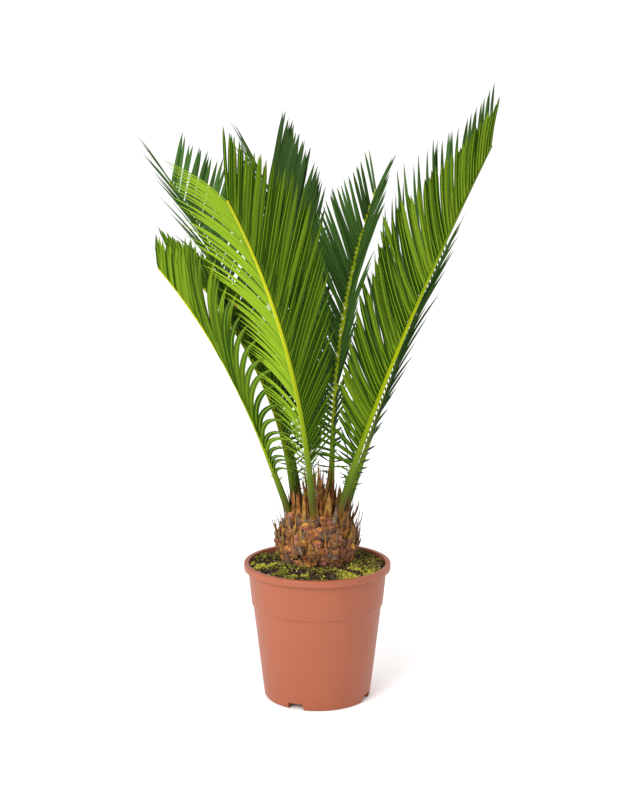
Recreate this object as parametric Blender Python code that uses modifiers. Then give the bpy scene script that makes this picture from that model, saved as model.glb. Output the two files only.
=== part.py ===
# Sago palm in a plastic nursery pot, as solids for size, weight and collision.
# Metres, +Z up. The origin is the centre of the pot's flat underside and -Y is the front.

import math
import random

import bmesh
import bpy
import numpy as np
from mathutils import Matrix, Vector

OBJECT_NAME = "sago_palm"
SEED = 7
TOUCH_GAP = 0.0003
MERGE = 0.00001

# The pot, turned round the Z axis
POT_HEIGHT = 0.178
RIM_RADIUS = 0.095
RIM_BAND = 0.009
RIM_ROUND = 0.0012
COLLAR_TOP_RADIUS = 0.0905
COLLAR_FOOT_RADIUS = 0.0852
COLLAR_FOOT_Z = 0.123
STEP_HEIGHT = 0.002
WALL_TOP_RADIUS = 0.0832
FOOT_RADIUS = 0.069
FOOT_ROUND = 0.003
FOOT_RING_WIDTH = 0.006
WALL = 0.0018
FLOOR = 0.0022
CHANNEL_HEIGHT = 0.007
CENTRE_DISC_RADIUS = 0.020
TURN_STEPS = 40
NOTCH_COUNT = 4
NOTCH_WIDTH = 0.023
NOTCH_AZIMUTH = -114
DRAIN_RADIUS = 0.0055
DRAIN_RING_RADIUS = 0.046

# The soil that fills the pot, with a low mound under the stem
SOIL_EDGE_Z = 0.170
MOUND_Z = 0.180
MOUND_RADIUS = 0.047
MOUND_FOOT_RADIUS = 0.068
MOUND_FOOT_Z = 0.1745

# The squat stem, cut flat at the soil
STEM_FOOT_RADIUS = 0.042
STEM_RADIUS = 0.050
STEM_WIDEST_Z = 0.207
CROWN_Z = 0.239
CROWN_RADIUS = 0.037
CROWN_TOP_RADIUS = 0.022
CROWN_RISE = 0.004
STEM_STEPS = 6
STEM_TURN_STEPS = 24
SCALE_ROWS = 5
SCALES_A_ROW = 13
SCALE_WIDTH = 0.0165
SCALE_HEIGHT = 0.0105
SCALE_DEPTH = 0.013
SCALE_SINK = 0.006
SCALE_NARROWING = 0.62
SCALE_FIRST_Z = 0.0073
SCALE_LAST_DROP = 0.002
SCALE_FIRST_RISE = 12
SCALE_RISE_A_ROW = 14
SPIKE_COUNT = 26
SPIKE_LENGTHS = (0.018, 0.046)
SPIKE_ROOT_RADIUS = 0.0028
SPIKE_LEANS = (8, 26)
SPIKE_TURN_CHANCE = 0.3
SPIKE_ROWS = 3
SPIKE_ROW_DROP = 0.016
SPIKE_SINK = 0.003
SPIKE_TIP_SHARE = 0.12
SPIKE_FLATNESS = 0.7
SPIKE_CLEAR = 0.0015
BUD_COUNT = 6
BUD_RING_RADIUS = 0.011
BUD_LENGTHS = (0.045, 0.078)
BUD_ROOT_RADIUS = 0.0048
BUD_LEANS = (1, 7)

# The ribs of the fronds
RIB_RING_RADIUS = 0.0325
RIB_FOOT_Z = 0.230
RIB_FOOT_THICK = 0.0052
RIB_TIP_THICK = 0.0013
RIB_POINTS = 26
RIB_TAPER = 0.7
SOCKET_POINTS = 8
BARE_RIB = 0.17

# The leaflets
LEAVES_A_SIDE = 28
LEAF_LENGTH = 0.150
LEAF_WIDTH = 0.0085
LEAF_THICK = 0.0015
LEAF_OPEN = 45
PAIR_STAGGER = 0.35
LEAF_CLEAR = 0.0075
RIB_CLEAR = 0.0100
LENGTH_TRIES = (1.0, 0.9, 0.8, 0.7, 0.6, 0.5, 0.4, 0.3)
LEAF_FILL = 0.85
LEAF_WIDEST = 0.32
LEAF_SLIMNESS = 95

# A leaflet's length share at the blade's foot and its angle to the rib, in degrees, at the
# foot and in the middle
FOOT_LENGTH = 0.3
FOOT_ANGLE = 78
MIDDLE_ANGLE = 42

# Each frond: azimuth, its sweep along the rib, lean at foot and tip, how early the lean
# comes, rib length, roll at foot, twist to the tip, leaflet length factor, extra opening and
# the share of its length that the last leaflet lacks
FRONDS = {
    "frond_front": (-98, -8, 15, 57, 0.5, 0.577, 6, 22, 1.00, -2, 0.48),
    "frond_front_right": (-43, 0, 16, 31, 0.5, 0.528, 22, 21, 0.99, 3, 0.52),
    "frond_right": (9, 0, 18, 26, 1.5, 0.374, 28, -9, 0.87, -16, 0.45),
    "frond_back_right": (56, 5, 0, 38, 1.4, 0.448, 13, 2, 0.86, 10, 0.52),
    "frond_back": (101, 8, 11, 35, 0.3, 0.494, -12, 5, 1.12, 10, 0.34),
    "frond_back_left": (131, 12, 2, 43, 0.5, 0.504, -13, 1, 1.05, 0, 0.40),
    "frond_left_back": (154, 12, 0, 48, 0.8, 0.397, 26, -12, 0.80, -12, 0.45),
    "frond_left": (-162, -5, 20, 40, 1.8, 0.373, 8, 4, 0.84, -42, 0.50),
}

# Each frond's two rows of leaflets, the anticlockwise one first: degrees added to a leaflet's
# angle to the rib, its length factor, degrees added to the opening, the share of the blade
# from which its leaflets have their full length, and degrees that they close to at the tip
FANS = {
    "frond_front": ((-3, 1.04, 5, 0.42, 6), (14, 1.00, 4, 0.90, 6)),
    "frond_front_right": ((0, 1.03, 2, 0.42, 14), (-3, 0.98, 0, 0.42, 14)),
    "frond_right": ((0, 1.00, 0, 0.42, 6), (0, 1.00, 2, 0.42, 6)),
    "frond_back_right": ((2, 0.98, 1, 0.42, 6), (-2, 1.00, 5, 0.42, 6)),
    "frond_back": ((3, 1.00, -2, 0.42, 6), (6, 1.07, 11, 0.42, 6)),
    "frond_back_left": ((12, 1.04, -4, 0.42, 6), (5, 0.95, -3, 0.42, 6)),
    "frond_left_back": ((-6, 0.95, -9, 0.42, 6), (1, 0.96, -10, 0.42, 6)),
    "frond_left": ((-10, 1.07, 0, 0.42, 6), (0, 1.00, 17, 0.42, 6)),
}

LEAF_GREEN = (0.12, 0.26, 0.02, 1.0)
STEM_BROWN = (0.22, 0.10, 0.04, 1.0)
SOIL_BROWN = (0.03, 0.02, 0.012, 1.0)
POT_TERRACOTTA = (0.52, 0.19, 0.10, 1.0)


def clear_scene():
    for existing in list(bpy.data.objects):
        bpy.data.objects.remove(existing)


def new_collection(name):
    collection = bpy.data.collections.new(name)
    bpy.context.scene.collection.children.link(collection)
    return collection


def plain_material(name, colour, roughness):
    material = bpy.data.materials.new(name)
    material.use_nodes = True
    shader = material.node_tree.nodes["Principled BSDF"]
    shader.inputs["Base Color"].default_value = colour
    shader.inputs["Roughness"].default_value = roughness
    shader.inputs["Metallic"].default_value = 0.0
    return material


def add_mesh_object(name, mesh, collection, material=None):
    thing = bpy.data.objects.new(name, mesh)
    if material is not None:
        mesh.materials.clear()
        mesh.materials.append(material)
    collection.objects.link(thing)
    return thing


def add_bmesh_object(name, shape, collection, material=None):
    bmesh.ops.recalc_face_normals(shape, faces=shape.faces)
    mesh = bpy.data.meshes.new(name)
    shape.to_mesh(mesh)
    shape.free()
    return add_mesh_object(name, mesh, collection, material)


def evaluated_mesh(thing):
    graph = bpy.context.evaluated_depsgraph_get()
    return bpy.data.meshes.new_from_object(thing.evaluated_get(graph))


def turned(name, profile, steps, collection, material):
    """A profile of radius and height pairs turned round the Z axis."""
    mesh = bpy.data.meshes.new(name)
    points = [(radius, 0.0, height) for radius, height in profile]
    edges = [(index, index + 1) for index in range(len(points) - 1)]
    mesh.from_pydata(points, edges, [])
    thing = add_mesh_object(name, mesh, collection, material)
    screw = thing.modifiers.new("turn", "SCREW")
    screw.axis = "Z"
    screw.angle = math.tau
    screw.steps = steps
    screw.render_steps = steps
    screw.use_merge_vertices = True
    screw.merge_threshold = MERGE
    return thing


def boolean(thing, operation, collection):
    """One Boolean of a whole collection on a thing, applied; the collection's objects go."""
    modifier = thing.modifiers.new("join", "BOOLEAN")
    modifier.operation = operation
    modifier.operand_type = "COLLECTION"
    modifier.collection = collection
    modifier.solver = "EXACT"
    mesh = evaluated_mesh(thing)
    thing.modifiers.clear()
    old_mesh = thing.data
    thing.data = mesh
    mesh.name = thing.name
    bpy.data.meshes.remove(old_mesh)
    for used in list(collection.objects):
        bpy.data.objects.remove(used)
    bpy.data.collections.remove(collection)


def add_cutter(name, shape, collection):
    cutter = add_bmesh_object(name, shape, collection)
    cutter.hide_render = True
    cutter.display_type = "WIRE"
    return cutter


def smooth_shading(thing, degrees=35):
    thing.data.shade_smooth()
    thing.data.set_sharp_from_angle(angle=math.radians(degrees))


def ease(start, end, value):
    share = min(max((value - start) / (end - start), 0.0), 1.0)
    return share * share * (3.0 - 2.0 * share)


def wall_radius(height):
    """Outer radius of the pot's wall at a height, without the rim's band."""
    if height >= COLLAR_FOOT_Z:
        share = (height - COLLAR_FOOT_Z) / (POT_HEIGHT - COLLAR_FOOT_Z)
        return COLLAR_FOOT_RADIUS + share * (COLLAR_TOP_RADIUS - COLLAR_FOOT_RADIUS)
    share = height / (COLLAR_FOOT_Z - STEP_HEIGHT)
    return FOOT_RADIUS + share * (WALL_TOP_RADIUS - FOOT_RADIUS)


def pot_profile():
    """From the inner floor's centre up the inside, over the rim and down to the underside."""
    step_z = COLLAR_FOOT_Z - STEP_HEIGHT
    floor_z = CHANNEL_HEIGHT + FLOOR
    band_foot = POT_HEIGHT - RIM_BAND
    inside = [
        (0.0, FLOOR),
        (CENTRE_DISC_RADIUS - FLOOR, FLOOR),
        (CENTRE_DISC_RADIUS + FLOOR, floor_z),
        (wall_radius(floor_z) - WALL, floor_z),
        (wall_radius(step_z) - WALL, step_z),
        (COLLAR_FOOT_RADIUS - WALL, COLLAR_FOOT_Z),
        (COLLAR_TOP_RADIUS - WALL, POT_HEIGHT - RIM_ROUND),
        (COLLAR_TOP_RADIUS - WALL + RIM_ROUND / 2, POT_HEIGHT),
    ]
    outside = [
        (RIM_RADIUS - RIM_ROUND, POT_HEIGHT),
        (RIM_RADIUS, POT_HEIGHT - RIM_ROUND),
        (RIM_RADIUS - RIM_ROUND / 2, band_foot),
        (wall_radius(band_foot), band_foot),
        (COLLAR_FOOT_RADIUS, COLLAR_FOOT_Z),
        (wall_radius(step_z), step_z),
        (wall_radius(FOOT_ROUND), FOOT_ROUND),
        (FOOT_RADIUS - FOOT_ROUND / 2, 0.0),
    ]
    ring_inner = FOOT_RADIUS - FOOT_ROUND / 2 - FOOT_RING_WIDTH
    underside = [
        (ring_inner, 0.0),
        (ring_inner - FLOOR, CHANNEL_HEIGHT),
        (CENTRE_DISC_RADIUS + FLOOR, CHANNEL_HEIGHT),
        (CENTRE_DISC_RADIUS, 0.0),
        (0.0, 0.0),
    ]
    return inside + outside + underside


def build_pot(collection, material):
    pot = turned("pot", pot_profile(), TURN_STEPS, collection, material)
    openings = new_collection("pot_cutters")
    for index in range(NOTCH_COUNT):
        azimuth = math.radians(NOTCH_AZIMUTH + index * 360 / NOTCH_COUNT)
        notch = bmesh.new()
        bmesh.ops.create_cube(notch, size=1.0)
        size = (2 * FOOT_RING_WIDTH + 2 * FOOT_ROUND, NOTCH_WIDTH, 2 * CHANNEL_HEIGHT)
        bmesh.ops.scale(notch, vec=size, verts=notch.verts)
        bmesh.ops.translate(notch, vec=(FOOT_RADIUS, 0.0, 0.0), verts=notch.verts)
        bmesh.ops.rotate(notch, matrix=Matrix.Rotation(azimuth, 3, "Z"), verts=notch.verts)
        add_cutter("notch_cutter_%d" % (index + 1), notch, openings)
        drain = bmesh.new()
        bmesh.ops.create_cone(drain, cap_ends=True, segments=12, radius1=DRAIN_RADIUS,
                              radius2=DRAIN_RADIUS, depth=6 * FLOOR)
        turn = azimuth + math.pi / NOTCH_COUNT
        place = (DRAIN_RING_RADIUS * math.cos(turn), DRAIN_RING_RADIUS * math.sin(turn),
                 CHANNEL_HEIGHT)
        bmesh.ops.translate(drain, vec=place, verts=drain.verts)
        add_cutter("drain_cutter_%d" % (index + 1), drain, openings)
    boolean(pot, "DIFFERENCE", openings)
    smooth_shading(pot)
    return pot


def build_soil(collection, material):
    """The soil fills the pot a touch gap clear of its floor and wall."""
    floor_z = CHANNEL_HEIGHT + FLOOR + TOUCH_GAP
    step_z = COLLAR_FOOT_Z - STEP_HEIGHT
    slack = WALL + TOUCH_GAP
    well_slope = FLOOR - 2 * TOUCH_GAP
    profile = [
        (0.0, MOUND_Z),
        (MOUND_RADIUS, MOUND_Z),
        (MOUND_FOOT_RADIUS, MOUND_FOOT_Z),
        (wall_radius(SOIL_EDGE_Z) - slack, SOIL_EDGE_Z),
        (COLLAR_FOOT_RADIUS - slack, COLLAR_FOOT_Z + TOUCH_GAP),
        (wall_radius(step_z) - slack, step_z),
        (wall_radius(floor_z) - slack, floor_z),
        (CENTRE_DISC_RADIUS + well_slope, floor_z),
        (CENTRE_DISC_RADIUS - FLOOR - TOUCH_GAP, FLOOR + TOUCH_GAP),
        (0.0, FLOOR + TOUCH_GAP),
    ]
    soil = turned("soil", profile, TURN_STEPS, collection, material)
    smooth_shading(soil)
    return soil


def stem_radius(height):
    """The stem's own radius, without its scales: a foot, a swelling and a domed crown."""
    foot_z = MOUND_Z + TOUCH_GAP
    if height <= STEM_WIDEST_Z:
        share = ease(foot_z, STEM_WIDEST_Z, height)
        return STEM_FOOT_RADIUS + share * (STEM_RADIUS - STEM_FOOT_RADIUS)
    share = ease(STEM_WIDEST_Z, CROWN_Z, height)
    return STEM_RADIUS + share * (CROWN_RADIUS - STEM_RADIUS)


def stem_profile():
    foot_z = MOUND_Z + TOUCH_GAP
    step = (CROWN_Z - foot_z) / STEM_STEPS
    heights = [CROWN_Z - index * step for index in range(STEM_STEPS + 1)]
    side = [(stem_radius(height), height) for height in heights]
    top_z = CROWN_Z + CROWN_RISE
    crown = [(0.0, top_z), (CROWN_TOP_RADIUS, top_z - CROWN_RISE / 4)]
    return crown + side + [(0.0, foot_z)]


def aim(direction, across):
    """A rotation whose Z axis is the direction and whose X axis lies near the across vector."""
    z_axis = Vector(direction).normalized()
    x_axis = (Vector(across) - z_axis * z_axis.dot(Vector(across))).normalized()
    y_axis = z_axis.cross(x_axis)
    return Matrix((x_axis, y_axis, z_axis)).transposed()


def add_cone(name, collection, root, direction, across, widths, end_share, length, sides):
    """A tapering stub of a few sides, widths wide and deep at its root."""
    shape = bmesh.new()
    bmesh.ops.create_cone(shape, cap_ends=True, segments=sides, radius1=0.5,
                          radius2=0.5 * end_share, depth=length)
    bmesh.ops.scale(shape, vec=(widths[0], widths[1], 1.0), verts=shape.verts)
    bmesh.ops.translate(shape, vec=(0.0, 0.0, length / 2), verts=shape.verts)
    bmesh.ops.rotate(shape, matrix=aim(direction, across), verts=shape.verts)
    bmesh.ops.translate(shape, vec=root, verts=shape.verts)
    return add_bmesh_object(name, shape, collection)


def add_scales(collection):
    """Old leaf bases: staggered rows of rhombic stubs that point outwards and up."""
    foot_z = MOUND_Z + TOUCH_GAP + SCALE_FIRST_Z
    top_z = CROWN_Z - SCALE_LAST_DROP
    for row in range(SCALE_ROWS):
        height = foot_z + row * (top_z - foot_z) / (SCALE_ROWS - 1)
        rise = math.radians(SCALE_FIRST_RISE + SCALE_RISE_A_ROW * row)
        for place in range(SCALES_A_ROW):
            azimuth = math.tau * (place + 0.5 * (row % 2)) / SCALES_A_ROW
            outward = Vector((math.cos(azimuth), math.sin(azimuth), 0.0))
            across = Vector((-math.sin(azimuth), math.cos(azimuth), 0.0))
            direction = outward * math.cos(rise) + Vector((0.0, 0.0, math.sin(rise)))
            root = outward * (stem_radius(height) - SCALE_SINK)
            root.z = height
            add_cone("scale", collection, root, direction, across,
                     (SCALE_WIDTH, SCALE_HEIGHT), SCALE_NARROWING, SCALE_DEPTH, 4)


def spikes():
    """Root, tip and root radius of each dead pointed scale round the crown and in its middle."""
    chance = random.Random(SEED)
    found = []
    for index in range(SPIKE_COUNT):
        azimuth = math.tau * (index + SPIKE_TURN_CHANCE * chance.random()) / SPIKE_COUNT
        height = CROWN_Z - SPIKE_ROW_DROP * (index % SPIKE_ROWS)
        radius = stem_radius(height) - SPIKE_SINK
        lean = math.radians(chance.uniform(*SPIKE_LEANS))
        length = chance.uniform(*SPIKE_LENGTHS)
        outward = np.array([math.cos(azimuth), math.sin(azimuth), 0.0])
        root = outward * radius + np.array([0.0, 0.0, height - SPIKE_SINK])
        way = outward * math.sin(lean) + np.array([0.0, 0.0, math.cos(lean)])
        found.append((root, root + way * length, SPIKE_ROOT_RADIUS))
    for index in range(BUD_COUNT):
        azimuth = math.tau * (index + 0.25) / BUD_COUNT
        lean = math.radians(chance.uniform(*BUD_LEANS))
        length = chance.uniform(*BUD_LENGTHS)
        outward = np.array([math.cos(azimuth), math.sin(azimuth), 0.0])
        root = outward * BUD_RING_RADIUS + np.array([0.0, 0.0, CROWN_Z - SPIKE_SINK])
        way = outward * math.sin(lean) + np.array([0.0, 0.0, math.cos(lean)])
        found.append((root, root + way * length, BUD_ROOT_RADIUS))
    return found


def segment_gap(start, end, starts, ends):
    """Smallest distance from one segment to each of many."""
    u = end - start
    v = ends - starts
    w = start - starts
    a = float(u @ u)
    b = v @ u
    c = np.einsum("ij,ij->i", v, v)
    d = w @ u
    e = np.einsum("ij,ij->i", v, w)
    spread = np.maximum(a * c - b * b, 1e-18)
    s = np.clip((b * e - c * d) / spread, 0.0, 1.0)
    t = np.clip((b * s + e) / np.maximum(c, 1e-18), 0.0, 1.0)
    s = np.clip((b * t - d) / a, 0.0, 1.0)
    apart = w + s[:, None] * u - t[:, None] * v
    return np.sqrt(np.einsum("ij,ij->i", apart, apart))


def frond_spine(row, points=RIB_POINTS):
    """Places and local axes (along, side, upper face) at even steps of a frond's rib."""
    azimuth, sweep, lean_foot, lean_tip, bend, length, roll, twist = row[:8]
    share = np.linspace(0.0, 1.0, points)
    lean = np.radians(lean_foot + (lean_tip - lean_foot) * share ** bend)
    around = np.radians(azimuth + sweep * share)
    along = np.stack([np.sin(lean) * np.cos(around), np.sin(lean) * np.sin(around),
                      np.cos(lean)], axis=1)
    foot = np.array([RIB_RING_RADIUS * math.cos(around[0]),
                     RIB_RING_RADIUS * math.sin(around[0]), RIB_FOOT_Z])
    steps = (along[1:] + along[:-1]) / 2 * (length / (points - 1))
    places = np.vstack([foot, foot + np.cumsum(steps, axis=0)])
    level = np.stack([-np.sin(around), np.cos(around), 0.0 * around], axis=1)
    upper = np.cross(along, level)
    turn = np.radians(roll + twist * share)[:, None]
    side = np.cos(turn) * level + np.sin(turn) * upper
    face = np.cos(turn) * upper - np.sin(turn) * level
    return share, places, along, side, face


def rib_radius(share):
    return RIB_FOOT_THICK + (RIB_TIP_THICK - RIB_FOOT_THICK) * share ** RIB_TAPER


def leaf_length(along_blade, factor, tip_loss, full_from):
    rise = FOOT_LENGTH + (1.0 - FOOT_LENGTH) * ease(-0.05, full_from, along_blade)
    fall = 1.0 - tip_loss * ease(0.5, 1.0, along_blade)
    return LEAF_LENGTH * factor * rise * fall


def leaf_angle(along_blade, tip_closing):
    """Degrees between a leaflet and its rib: wide near the stem, narrow at the tip."""
    closing = (FOOT_ANGLE - MIDDLE_ANGLE) * ease(0.0, 0.4, along_blade)
    return FOOT_ANGLE - closing - tip_closing * ease(0.5, 1.0, along_blade)


def frond_leaves(row, fans):
    """Root, direction, rib direction, face, length and width of each leaflet of one frond."""
    share, places, along, side, face = frond_spine(row)
    length = row[5]
    factor, opening, tip_loss = row[8:]
    spacing = length * (1.0 - BARE_RIB) / LEAVES_A_SIDE
    leaves = []
    for index in range(LEAVES_A_SIDE):
        for hand, (spread, reach, lifted, full_from, closing) in zip((1, -1), fans):
            lift = math.radians(LEAF_OPEN + opening + lifted)
            stagger = 0.5 + 0.5 * PAIR_STAGGER * hand
            along_blade = (index + stagger) / LEAVES_A_SIDE
            where = BARE_RIB + (1.0 - BARE_RIB) * along_blade
            axes = [np.array([np.interp(where, share, part[:, k]) for k in range(3)])
                    for part in (places, along, side, face)]
            root, rib_way, side_way, up_way = axes
            angle = math.radians(leaf_angle(along_blade, closing) + spread)
            outward = math.cos(lift) * hand * side_way + math.sin(lift) * up_way
            way = math.cos(angle) * rib_way + math.sin(angle) * outward
            way = way / np.linalg.norm(way)
            room = LEAF_FILL * spacing * math.sin(angle)
            leaves.append({
                "rank": along_blade,
                "root": root,
                "way": way,
                "rib_way": rib_way,
                "face": up_way,
                "length": leaf_length(along_blade, factor * reach, tip_loss, full_from),
                "width": min(LEAF_WIDTH, room),
                "rib": rib_radius(where),
            })
    return leaves


def clear_length(leaf, starts, ends, clearances):
    """The longest tried length at which a leaflet keeps clear of everything listed."""
    for share in LENGTH_TRIES:
        tip = leaf["root"] + leaf["way"] * leaf["length"] * share
        gaps = segment_gap(leaf["root"], tip, starts, ends)
        if np.all(gaps > clearances):
            return leaf["length"] * share
    return 0.0


def place_leaves():
    """Deals the leaflets of all fronds from the tips down, each clear of the other fronds."""
    owners = []
    starts = []
    ends = []
    clearances = []
    for name, row in FRONDS.items():
        places = frond_spine(row)[1]
        for index in range(len(places) - 1):
            owners.append(name)
            starts.append(places[index])
            ends.append(places[index + 1])
            clearances.append(RIB_CLEAR)
    for root, tip, radius in spikes():
        owners.append("trunk")
        starts.append(root)
        ends.append(tip)
        clearances.append(RIB_CLEAR)
    waiting = []
    for name, row in FRONDS.items():
        waiting += [(leaf["rank"], name, leaf) for leaf in frond_leaves(row, FANS[name])]
    waiting.sort(key=lambda entry: (-entry[0], entry[1]))
    placed = {name: [] for name in FRONDS}
    for rank, name, leaf in waiting:
        others = np.array([owner != name for owner in owners])
        length = clear_length(leaf, np.array(starts)[others], np.array(ends)[others],
                              np.array(clearances)[others])
        if length == 0.0:
            continue
        leaf["length"] = length
        placed[name].append(leaf)
        owners.append(name)
        starts.append(leaf["root"])
        ends.append(leaf["root"] + leaf["way"] * length)
        clearances.append(LEAF_CLEAR)
    return placed


def add_leaf(leaf, collection):
    """A three-sided blade, flat above and ridged below, that starts on the rib's middle."""
    way = Vector(leaf["way"])
    across = Vector(leaf["rib_way"])
    across = (across - way * way.dot(across)).normalized()
    below = way.cross(across)
    if below.dot(Vector(leaf["face"])) > 0.0:
        below = -below
    root = Vector(leaf["root"])
    thick = max(LEAF_THICK, leaf["length"] / LEAF_SLIMNESS)
    rib = leaf["rib"]
    shape = bmesh.new()
    rings = []
    for distance, half_width, depth in ((0.0, rib / 2, rib / 2),
                                        (LEAF_WIDEST * leaf["length"], leaf["width"] / 2, thick)):
        middle = root + way * distance
        top = middle - below * (depth / 4)
        rings.append([shape.verts.new(top + across * half_width),
                      shape.verts.new(top - across * half_width),
                      shape.verts.new(top + below * depth)])
    tip = shape.verts.new(root + way * leaf["length"])
    shape.faces.new(rings[0])
    for corner in range(3):
        following = (corner + 1) % 3
        shape.faces.new((rings[0][corner], rings[0][following],
                         rings[1][following], rings[1][corner]))
        shape.faces.new((rings[1][corner], rings[1][following], tip))
    return add_bmesh_object("leaf", shape, collection)


def rib_tube(name, row, extra, sink, collection):
    """The rib as a bevelled curve made a mesh; a cutter is a little thicker and deeper."""
    share, places, along, side, face = frond_spine(row)
    curve = bpy.data.curves.new(name, "CURVE")
    curve.dimensions = "3D"
    curve.bevel_depth = 1.0
    curve.bevel_resolution = 1
    curve.use_fill_caps = True
    spline = curve.splines.new("POLY")
    spline.points.add(len(places) - 1)
    for index, place in enumerate(places):
        radius = rib_radius(share[index]) + extra
        spot = place - along[0] * sink if index == 0 else place
        spline.points[index].co = (spot[0], spot[1], spot[2], 1.0)
        spline.points[index].radius = radius
    guide = bpy.data.objects.new(name + "_curve", curve)
    collection.objects.link(guide)
    mesh = evaluated_mesh(guide)
    bpy.data.objects.remove(guide)
    bpy.data.curves.remove(curve)
    shape = bmesh.new()
    shape.from_mesh(mesh)
    bpy.data.meshes.remove(mesh)
    bmesh.ops.remove_doubles(shape, verts=shape.verts, dist=MERGE)
    return shape


def build_frond(name, row, leaves, collection, material):
    shape = rib_tube(name, row, 0.0, 0.0, collection)
    frond = add_bmesh_object(name, shape, collection, material)
    blades = new_collection(name + "_blades")
    for leaf in leaves:
        add_leaf(leaf, blades)
    boolean(frond, "UNION", blades)
    smooth_shading(frond, 50)
    return frond


def build_trunk(collection, material):
    """The scaly stem with its spikes, then a clear socket for the foot of each rib."""
    trunk = turned("trunk", stem_profile(), STEM_TURN_STEPS, collection, material)
    growths = new_collection("trunk_growths")
    add_scales(growths)
    ribs = [frond_spine(row)[1][:SOCKET_POINTS] for row in FRONDS.values()]
    for root, tip, radius in spikes():
        clear = RIB_FOOT_THICK + radius + SPIKE_CLEAR
        gaps = [segment_gap(root, tip, rib[:-1], rib[1:]).min() for rib in ribs]
        if min(gaps) < clear:
            continue
        direction = Vector(tip - root)
        add_cone("spike", growths, Vector(root), direction, (1.0, 0.2, 0.0),
                 (2 * radius, 2 * radius * SPIKE_FLATNESS), SPIKE_TIP_SHARE,
                 direction.length, 5)
    boolean(trunk, "UNION", growths)
    sockets = new_collection("socket_cutters")
    for name, row in FRONDS.items():
        socket = rib_tube(name + "_socket", row, TOUCH_GAP, TOUCH_GAP, sockets)
        add_cutter(name + "_socket", socket, sockets)
    boolean(trunk, "DIFFERENCE", sockets)
    smooth_shading(trunk, 30)
    return trunk


def main():
    clear_scene()
    parts = new_collection(OBJECT_NAME)
    leaf_material = plain_material("leaf green", LEAF_GREEN, 0.45)
    build_pot(parts, plain_material("terracotta plastic", POT_TERRACOTTA, 0.5))
    build_soil(parts, plain_material("peat soil", SOIL_BROWN, 0.95))
    build_trunk(parts, plain_material("brown leaf bases", STEM_BROWN, 0.85))
    placed = place_leaves()
    for name, row in FRONDS.items():
        build_frond(name, row, placed[name], parts, leaf_material)


if __name__ == "__main__":
    main()
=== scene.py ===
"""Looks of a young sago palm in a plastic nursery pot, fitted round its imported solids.

Metres, +Z up. The origin is the centre of the pot's flat underside and -Y is the front.
"""

import math

import bmesh
import bpy
import numpy as np
from mathutils import Matrix, Vector, noise


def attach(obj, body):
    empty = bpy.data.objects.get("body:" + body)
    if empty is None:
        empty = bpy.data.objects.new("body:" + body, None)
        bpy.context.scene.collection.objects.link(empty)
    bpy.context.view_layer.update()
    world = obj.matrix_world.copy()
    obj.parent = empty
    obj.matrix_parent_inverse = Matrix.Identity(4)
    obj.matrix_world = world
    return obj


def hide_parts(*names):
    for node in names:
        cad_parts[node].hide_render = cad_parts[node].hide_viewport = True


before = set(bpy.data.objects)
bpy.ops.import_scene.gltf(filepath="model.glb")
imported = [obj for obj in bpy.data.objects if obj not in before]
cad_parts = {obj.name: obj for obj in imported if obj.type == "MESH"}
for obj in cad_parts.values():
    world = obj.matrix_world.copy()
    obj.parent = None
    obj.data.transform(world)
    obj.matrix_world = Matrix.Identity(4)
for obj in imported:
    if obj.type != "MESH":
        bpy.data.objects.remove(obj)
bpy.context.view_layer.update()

bl_info = {
    "name": "Potted sago palm",
    "version": (1, 0, 0),
    "blender": (4, 5, 0),
    "location": "3D View > Sidebar > Sago palm",
    "description": "Builds the finished pot, soil, stem and fronds round the packed solids",
    "category": "Object",
}

BODY = "root"
SEED = 11
MM = 0.001

# The picture's frame, in its own pixels, and the focal length that was fitted to the pot
PICTURE_HEIGHT_PX = 798
FOCAL_PX = 1386.6
SENSOR_MM = 36.0

# The soft studio lights and the floor
KEY_LIGHT_PLACE = (-1.25, -1.8, 1.5)
KEY_LIGHT_SIZE = 1.5
FILL_LIGHT_PLACE = (0.3, 0.4, 2.3)
FILL_LIGHT_SIZE = 1.6
LIGHTS_AIM = (0.0, 0.0, 0.35)
FLOOR_RADIUS = 60.0

# The pot's profile, as in the solids
POT_HEIGHT = 0.178
RIM_RADIUS = 0.095
RIM_BAND = 0.009
COLLAR_TOP_RADIUS = 0.0905
COLLAR_FOOT_RADIUS = 0.0852
COLLAR_FOOT_Z = 0.123
STEP_HEIGHT = 0.002
WALL_TOP_RADIUS = 0.0832
FOOT_RADIUS = 0.069
FOOT_ROUND = 0.003
FOOT_RING_WIDTH = 0.006
WALL = 0.0018
FLOOR = 0.0022
CHANNEL_HEIGHT = 0.007
CENTRE_DISC_RADIUS = 0.020
NOTCH_COUNT = 4
NOTCH_WIDTH = 0.023
NOTCH_HEIGHT = 0.0085
NOTCH_AZIMUTH = -114
NOTCH_TAPER = 0.86
DRAIN_RADIUS = 0.0055
DRAIN_RING_RADIUS = 0.046
DRAIN_STEPS = 32
WALL_FIRST_Z = 0.020
COLLAR_FIRST_Z = 0.132
POT_SHARP_DEGREES = 32

# The soil's surface
SOIL_EDGE_Z = 0.170
MOUND_Z = 0.180
MOUND_RADIUS = 0.047
MOUND_FOOT_RADIUS = 0.068
MOUND_FOOT_Z = 0.1745
TOUCH_GAP = 0.0003
# How much higher the loose top lies at the wall than the solid's edge
SOIL_RISE = 0.0026
SOIL_STEPS = 180
SOIL_CRUMB = 0.0013
SOIL_LUMP = 0.0016
MOSS_DEPTH = 0.0024
CRUMB_SIZES = (0.0008, 0.0024)
PERLITE_SIZES = (0.0007, 0.0015)
TUFT_SIZES = (0.0005, 0.0018)
# Where the moss is its yellowest: x, y, strength and reach
YELLOW_PATCHES = ((0.055, -0.058, 1.0, 0.036), (-0.076, -0.020, 1.0, 0.028),
                  (-0.022, -0.066, 0.9, 0.014))
# The radius at which a turned shape's pole is closed
POLE_RADIUS = 0.0005

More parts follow.
